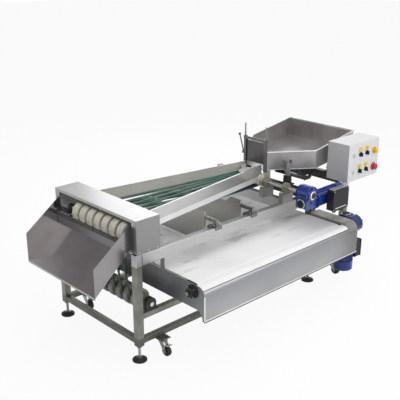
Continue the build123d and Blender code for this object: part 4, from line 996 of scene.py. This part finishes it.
class GRADER_OT_hopper(bpy.types.Operator):
    """Feed hopper, gate with threaded rods, rubber mounts and vibrator"""

    bl_idname = "grader.hopper"
    bl_label = "Hopper"

    def execute(self, context):
        tones, sizes = context.scene.grader_finish, context.scene.grader_detail
        dress(hopper_finish(), "hopper")
        # The gate plate's sheet is painted dark as a painted shade
        dress(brushed_steel("gate_steel", shade(tones.sheet, 0.28), 0.35, ALONG_Z, 0.2), "gate_plate")
        dress(moulded("mount_rubber", tones.black, 0.6), "rubber_mounts")
        dress(painted("vibrator_paint", (0.05, 0.055, 0.06), 0.4), "vibrator_motor")
        dress(lever_finish(tones), "gate_lever")
        cradle = painted("cradle_paint", (0.03, 0.03, 0.032), 0.5)
        rim = brushed_steel("rim_steel", shade(tones.bright, 1.2), 0.22)
        rod = brushed_steel("rod_steel", shade(tones.bright, 0.4), 0.26)
        seam = brushed_steel("seam_steel", tones.sheet, 0.4)
        piece("vibrator_cradle", "black_iron", cradle, vibrator_cradle, body="feeder")
        piece("hopper_rim", "stainless", rim, rolled_rim, body="feeder")
        piece("gate_rod_threads", "zinc", rod, gate_rods, sizes.pitch / MM, body="feeder")
        piece("hopper_seams", "stainless", seam, hopper_seams, sizes.bead, body="feeder")
        return {"FINISHED"}


# Control box

def legend_plates(bm):
    for x, row in SELECTORS:
        slab(bm, at(x - 20, BOX_FRONT - 3, row + 24), at(x + 20, BOX_FRONT, row + 56), 1)


def button_collar(bm, row, head):
    """Ring on the door round a button's head."""
    bore, rim = head + 1.2, head + 8
    profile = [(bore, 0), (rim, 0), (rim, 2.5), (rim - 2.5, 5), (bore, 5), (bore, 0)]
    turned(bm, at(BUTTON_X, BOX_FRONT, row), TO_FRONT, profile, 28)


def box_glands(bm):
    for x in (1958, 2010, 2062):
        turned(bm, at(x, -120, 868), DOWN, [(11, 0), (11, 14), (14, 14), (14, 26), (10, 40), (0, 40)], 12)


def back_plate(bm):
    """Plate inside the box, with its two rails."""
    slab(bm, at(BOX_LEFT - 15, -14, 888), at(BOX_RIGHT + 15, -11, 1148), 1)
    for level in RAIL_LEVELS:
        slab(bm, at(BOX_LEFT, -22, level - 17), at(BOX_RIGHT, -13, level + 17), 1.5)


def box_devices(bm):
    """Plain devices along the rails, and the wiring duct between them."""
    for level, widths in zip(RAIL_LEVELS, ((72, 54, 54, 18, 18, 18, 18), (45, 45, 45, 27, 27, 90))):
        x = BOX_LEFT + 12
        for wide in widths:
            slab(bm, at(x, -78, level - 40), at(x + wide - 2, -20, level + 40), 2)
            slab(bm, at(x + 3, -92, level - 18), at(x + wide - 5, -77, level + 18), 2)
            x += wide
    slab(bm, at(BOX_LEFT, -58, 1009), at(BOX_RIGHT, -13, 1031), 1.5)


class GRADER_OT_control_box(bpy.types.Operator):
    """Control box with its fittings, legend plates, selector marks and buttons"""

    bl_idname = "grader.control_box"
    bl_label = "Control box"

    def execute(self, context):
        tones = context.scene.grader_finish
        dress(painted("cabinet_paint", tones.cabinet, 0.42, 0.12, grime=0.12), "control_box", "box_door")
        dress(painted("bracket_paint", (0.05, 0.05, 0.05), 0.5), "box_bracket")
        dress(brushed_steel("lock_steel", tones.bright), "door_locks")
        dress(moulded("selector_plastic", tones.black, 0.35), *[f"selector_{number}" for number in range(1, 5)])
        piece("box_back_plate", "zinc", brushed_steel("back_plate_zinc", tones.bright, 0.38), back_plate)
        piece("box_devices", "grey_paint", moulded("device_plastic", (0.16, 0.16, 0.165), 0.45), box_devices)
        legend = moulded("legend_plastic", tones.yellow, 0.4)
        piece("legend_plates", "yellow_plastic", legend, legend_plates, body="door")
        piece("box_glands", "zinc", brushed_steel("gland_nickel", tones.bright, 0.25), box_glands)
        for tone, row, head in zip(("yellow", "red"), BUTTON_ROWS, (20, 24)):
            dress(moulded(f"{tone}_plastic", getattr(tones, tone), 0.3), f"{tone}_button")
            collar = moulded(f"{tone}_collar_plastic", getattr(tones, tone), 0.35)
            piece(f"{tone}_collar", f"{tone}_plastic", collar, button_collar, row, head, body="door")
        for number, (x, row) in enumerate(SELECTORS, 1):
            mark = moulded(f"selector_mark_{number}", (0.8, 0.8, 0.78), 0.4)
            line = at(x - 1, BOX_FRONT - 24.6, row + 2), at(x + 1, BOX_FRONT - 23.5, row + 15), 0.3
            piece(f"selector_{number}_mark", "black_plastic", mark, slab, *line, body=f"select_{number}")
        return {"FINISHED"}


# Stage

def seen(finish, camera=1.0, glossy=1.0, through=1.0):
    """How much of the white background a ray shows: from the camera, a mirror or glass."""
    camera = finish.node("LightPath", out="Is Camera Ray") * camera
    glossy = finish.node("LightPath", out="Is Glossy Ray") * glossy
    through = finish.node("LightPath", out="Is Transmission Ray") * through
    return camera.higher(glossy).higher(through)


def pale_floor():
    """Floor that is near white to the camera and keeps the machine's shadow."""
    f = Finish("pale_floor")
    tone = f.mix(f.noise(3), (0.90, 0.90, 0.90), (0.94, 0.94, 0.94))
    matt = f.node("BsdfPrincipled", None, {"Base Color": tone, "Roughness": 1.0, "Specular IOR Level": 0.0})
    glow = f.node("Emission", None, {"Color": (1, 1, 1, 1), "Strength": 1.0})
    both = f.node("MixShader", None, {0: seen(f, 0.92, 0.4, 0.92), 1: matt, 2: glow})
    f.node("OutputMaterial", None, {"Surface": both})
    bm = bmesh.new()
    bmesh.ops.create_grid(bm, x_segments=1, y_segments=1, size=30)
    mesh = bpy.data.meshes.new("floor")
    bm.to_mesh(mesh)
    bm.free()
    mesh.materials.append(f.owner)
    floor = put("floor", mesh)
    floor.location.z = -0.0005


def white_room(strength):
    """White all round for the camera, with a dim ceiling that only mirrors show."""
    world = bpy.data.worlds.new("room")
    bpy.context.scene.world = world
    f = Finish("room", world)
    heading = f.node("TexCoord", out="Generated")
    side, back, up = (f.node("SeparateXYZ", None, {0: heading}, out=axis) for axis in "XYZ")
    ceiling = f.mix(up.rises(0.43, 0.55) * back.rises(0.1, 0.4), (1, 1, 1), (0.2, 0.19, 0.195))
    shown = f.mix(f.node("LightPath", out="Is Camera Ray"), ceiling, (1, 1, 1))
    around = f.mix(side.rises(-0.8, 0.3), (0.15, 0.15, 0.155), (1, 1, 1))
    soft = f.node("Background", None, {"Color": around, "Strength": strength})
    pale = f.node("Background", None, {"Color": shown, "Strength": 1.0})
    f.node("OutputWorld", None, {"Surface": f.node("MixShader", None, {0: seen(f), 1: soft, 2: pale})})


def soft_lamp(name, place, target, size, watts, mirrored=True):
    """Round lamp, which metal mirrors or not."""
    data = bpy.data.lights.new(name, "AREA")
    data.shape = "DISK"
    data.size = size
    data.energy = watts
    lamp = put(name, data)
    lamp.location = place
    lamp.rotation_euler = (target - place).to_track_quat("-Z", "Y").to_euler()
    lamp.visible_camera = False
    lamp.visible_glossy = mirrored


class GRADER_OT_stage(bpy.types.Operator):
    """Pale floor, soft studio light and the camera"""

    bl_idname = "grader.stage"
    bl_label = "Stage"

    def execute(self, context):
        stage = context.scene.grader_stage
        pale_floor()
        white_room(stage.room)
        soft_lamp("key", at(1100, -600, 3900), at(1100, 200, 700), 6.4, stage.key, mirrored=False)
        soft_lamp("fill", at(2300, -3900, 1900), at(1100, 0, 650), 3.6, stage.fill)
        soft_lamp("back", at(4300, 3900, 2600), at(800, CENTRE_Y, 800), 3.4, stage.back)
        data = bpy.data.cameras.new("camera")
        data.lens = stage.lens
        data.sensor_width = 36
        data.clip_end = 200
        camera = put("camera", data)
        camera.location = stage.camera
        camera.rotation_euler = (math.pi / 2 - stage.dip, 0, -stage.heading)
        context.scene.camera = camera
        context.scene.view_settings.view_transform = "Standard"
        return {"FINISHED"}


OPERATORS = (
    GRADER_OT_frame,
    GRADER_OT_feet,
    GRADER_OT_sheet_covers,
    GRADER_OT_cords,
    GRADER_OT_conveyor,
    GRADER_OT_drives,
    GRADER_OT_dividers,
    GRADER_OT_hopper,
    GRADER_OT_control_box,
    GRADER_OT_stage,
)
GROUPS = {"grader_finish": FinishSettings, "grader_detail": DetailSettings, "grader_stage": StageSettings}


class GRADER_PT_panel(bpy.types.Panel):
    """The machine's settings and its pieces, in building order"""

    bl_idname = "GRADER_PT_panel"
    bl_label = "Cord grader"
    bl_space_type = "VIEW_3D"
    bl_region_type = "UI"
    bl_category = "Grader"

    def draw(self, context):
        for owner, group in GROUPS.items():
            box = self.layout.box()
            for name in group.__annotations__:
                box.prop(getattr(context.scene, owner), name)
        for operator in OPERATORS:
            self.layout.operator(operator.bl_idname)


def register():
    for group in GROUPS.values():
        bpy.utils.register_class(group)
    for name, group in GROUPS.items():
        setattr(bpy.types.Scene, name, PointerProperty(type=group))
    for made in (*OPERATORS, GRADER_PT_panel):
        bpy.utils.register_class(made)


def unregister():
    for made in (GRADER_PT_panel, *reversed(OPERATORS)):
        bpy.utils.unregister_class(made)
    for name, group in GROUPS.items():
        delattr(bpy.types.Scene, name)
        bpy.utils.unregister_class(group)


def main():
    register()
    for operator in OPERATORS:
        group, name = operator.bl_idname.split(".")
        getattr(getattr(bpy.ops, group), name)()


if __name__ == "__main__":
    main()
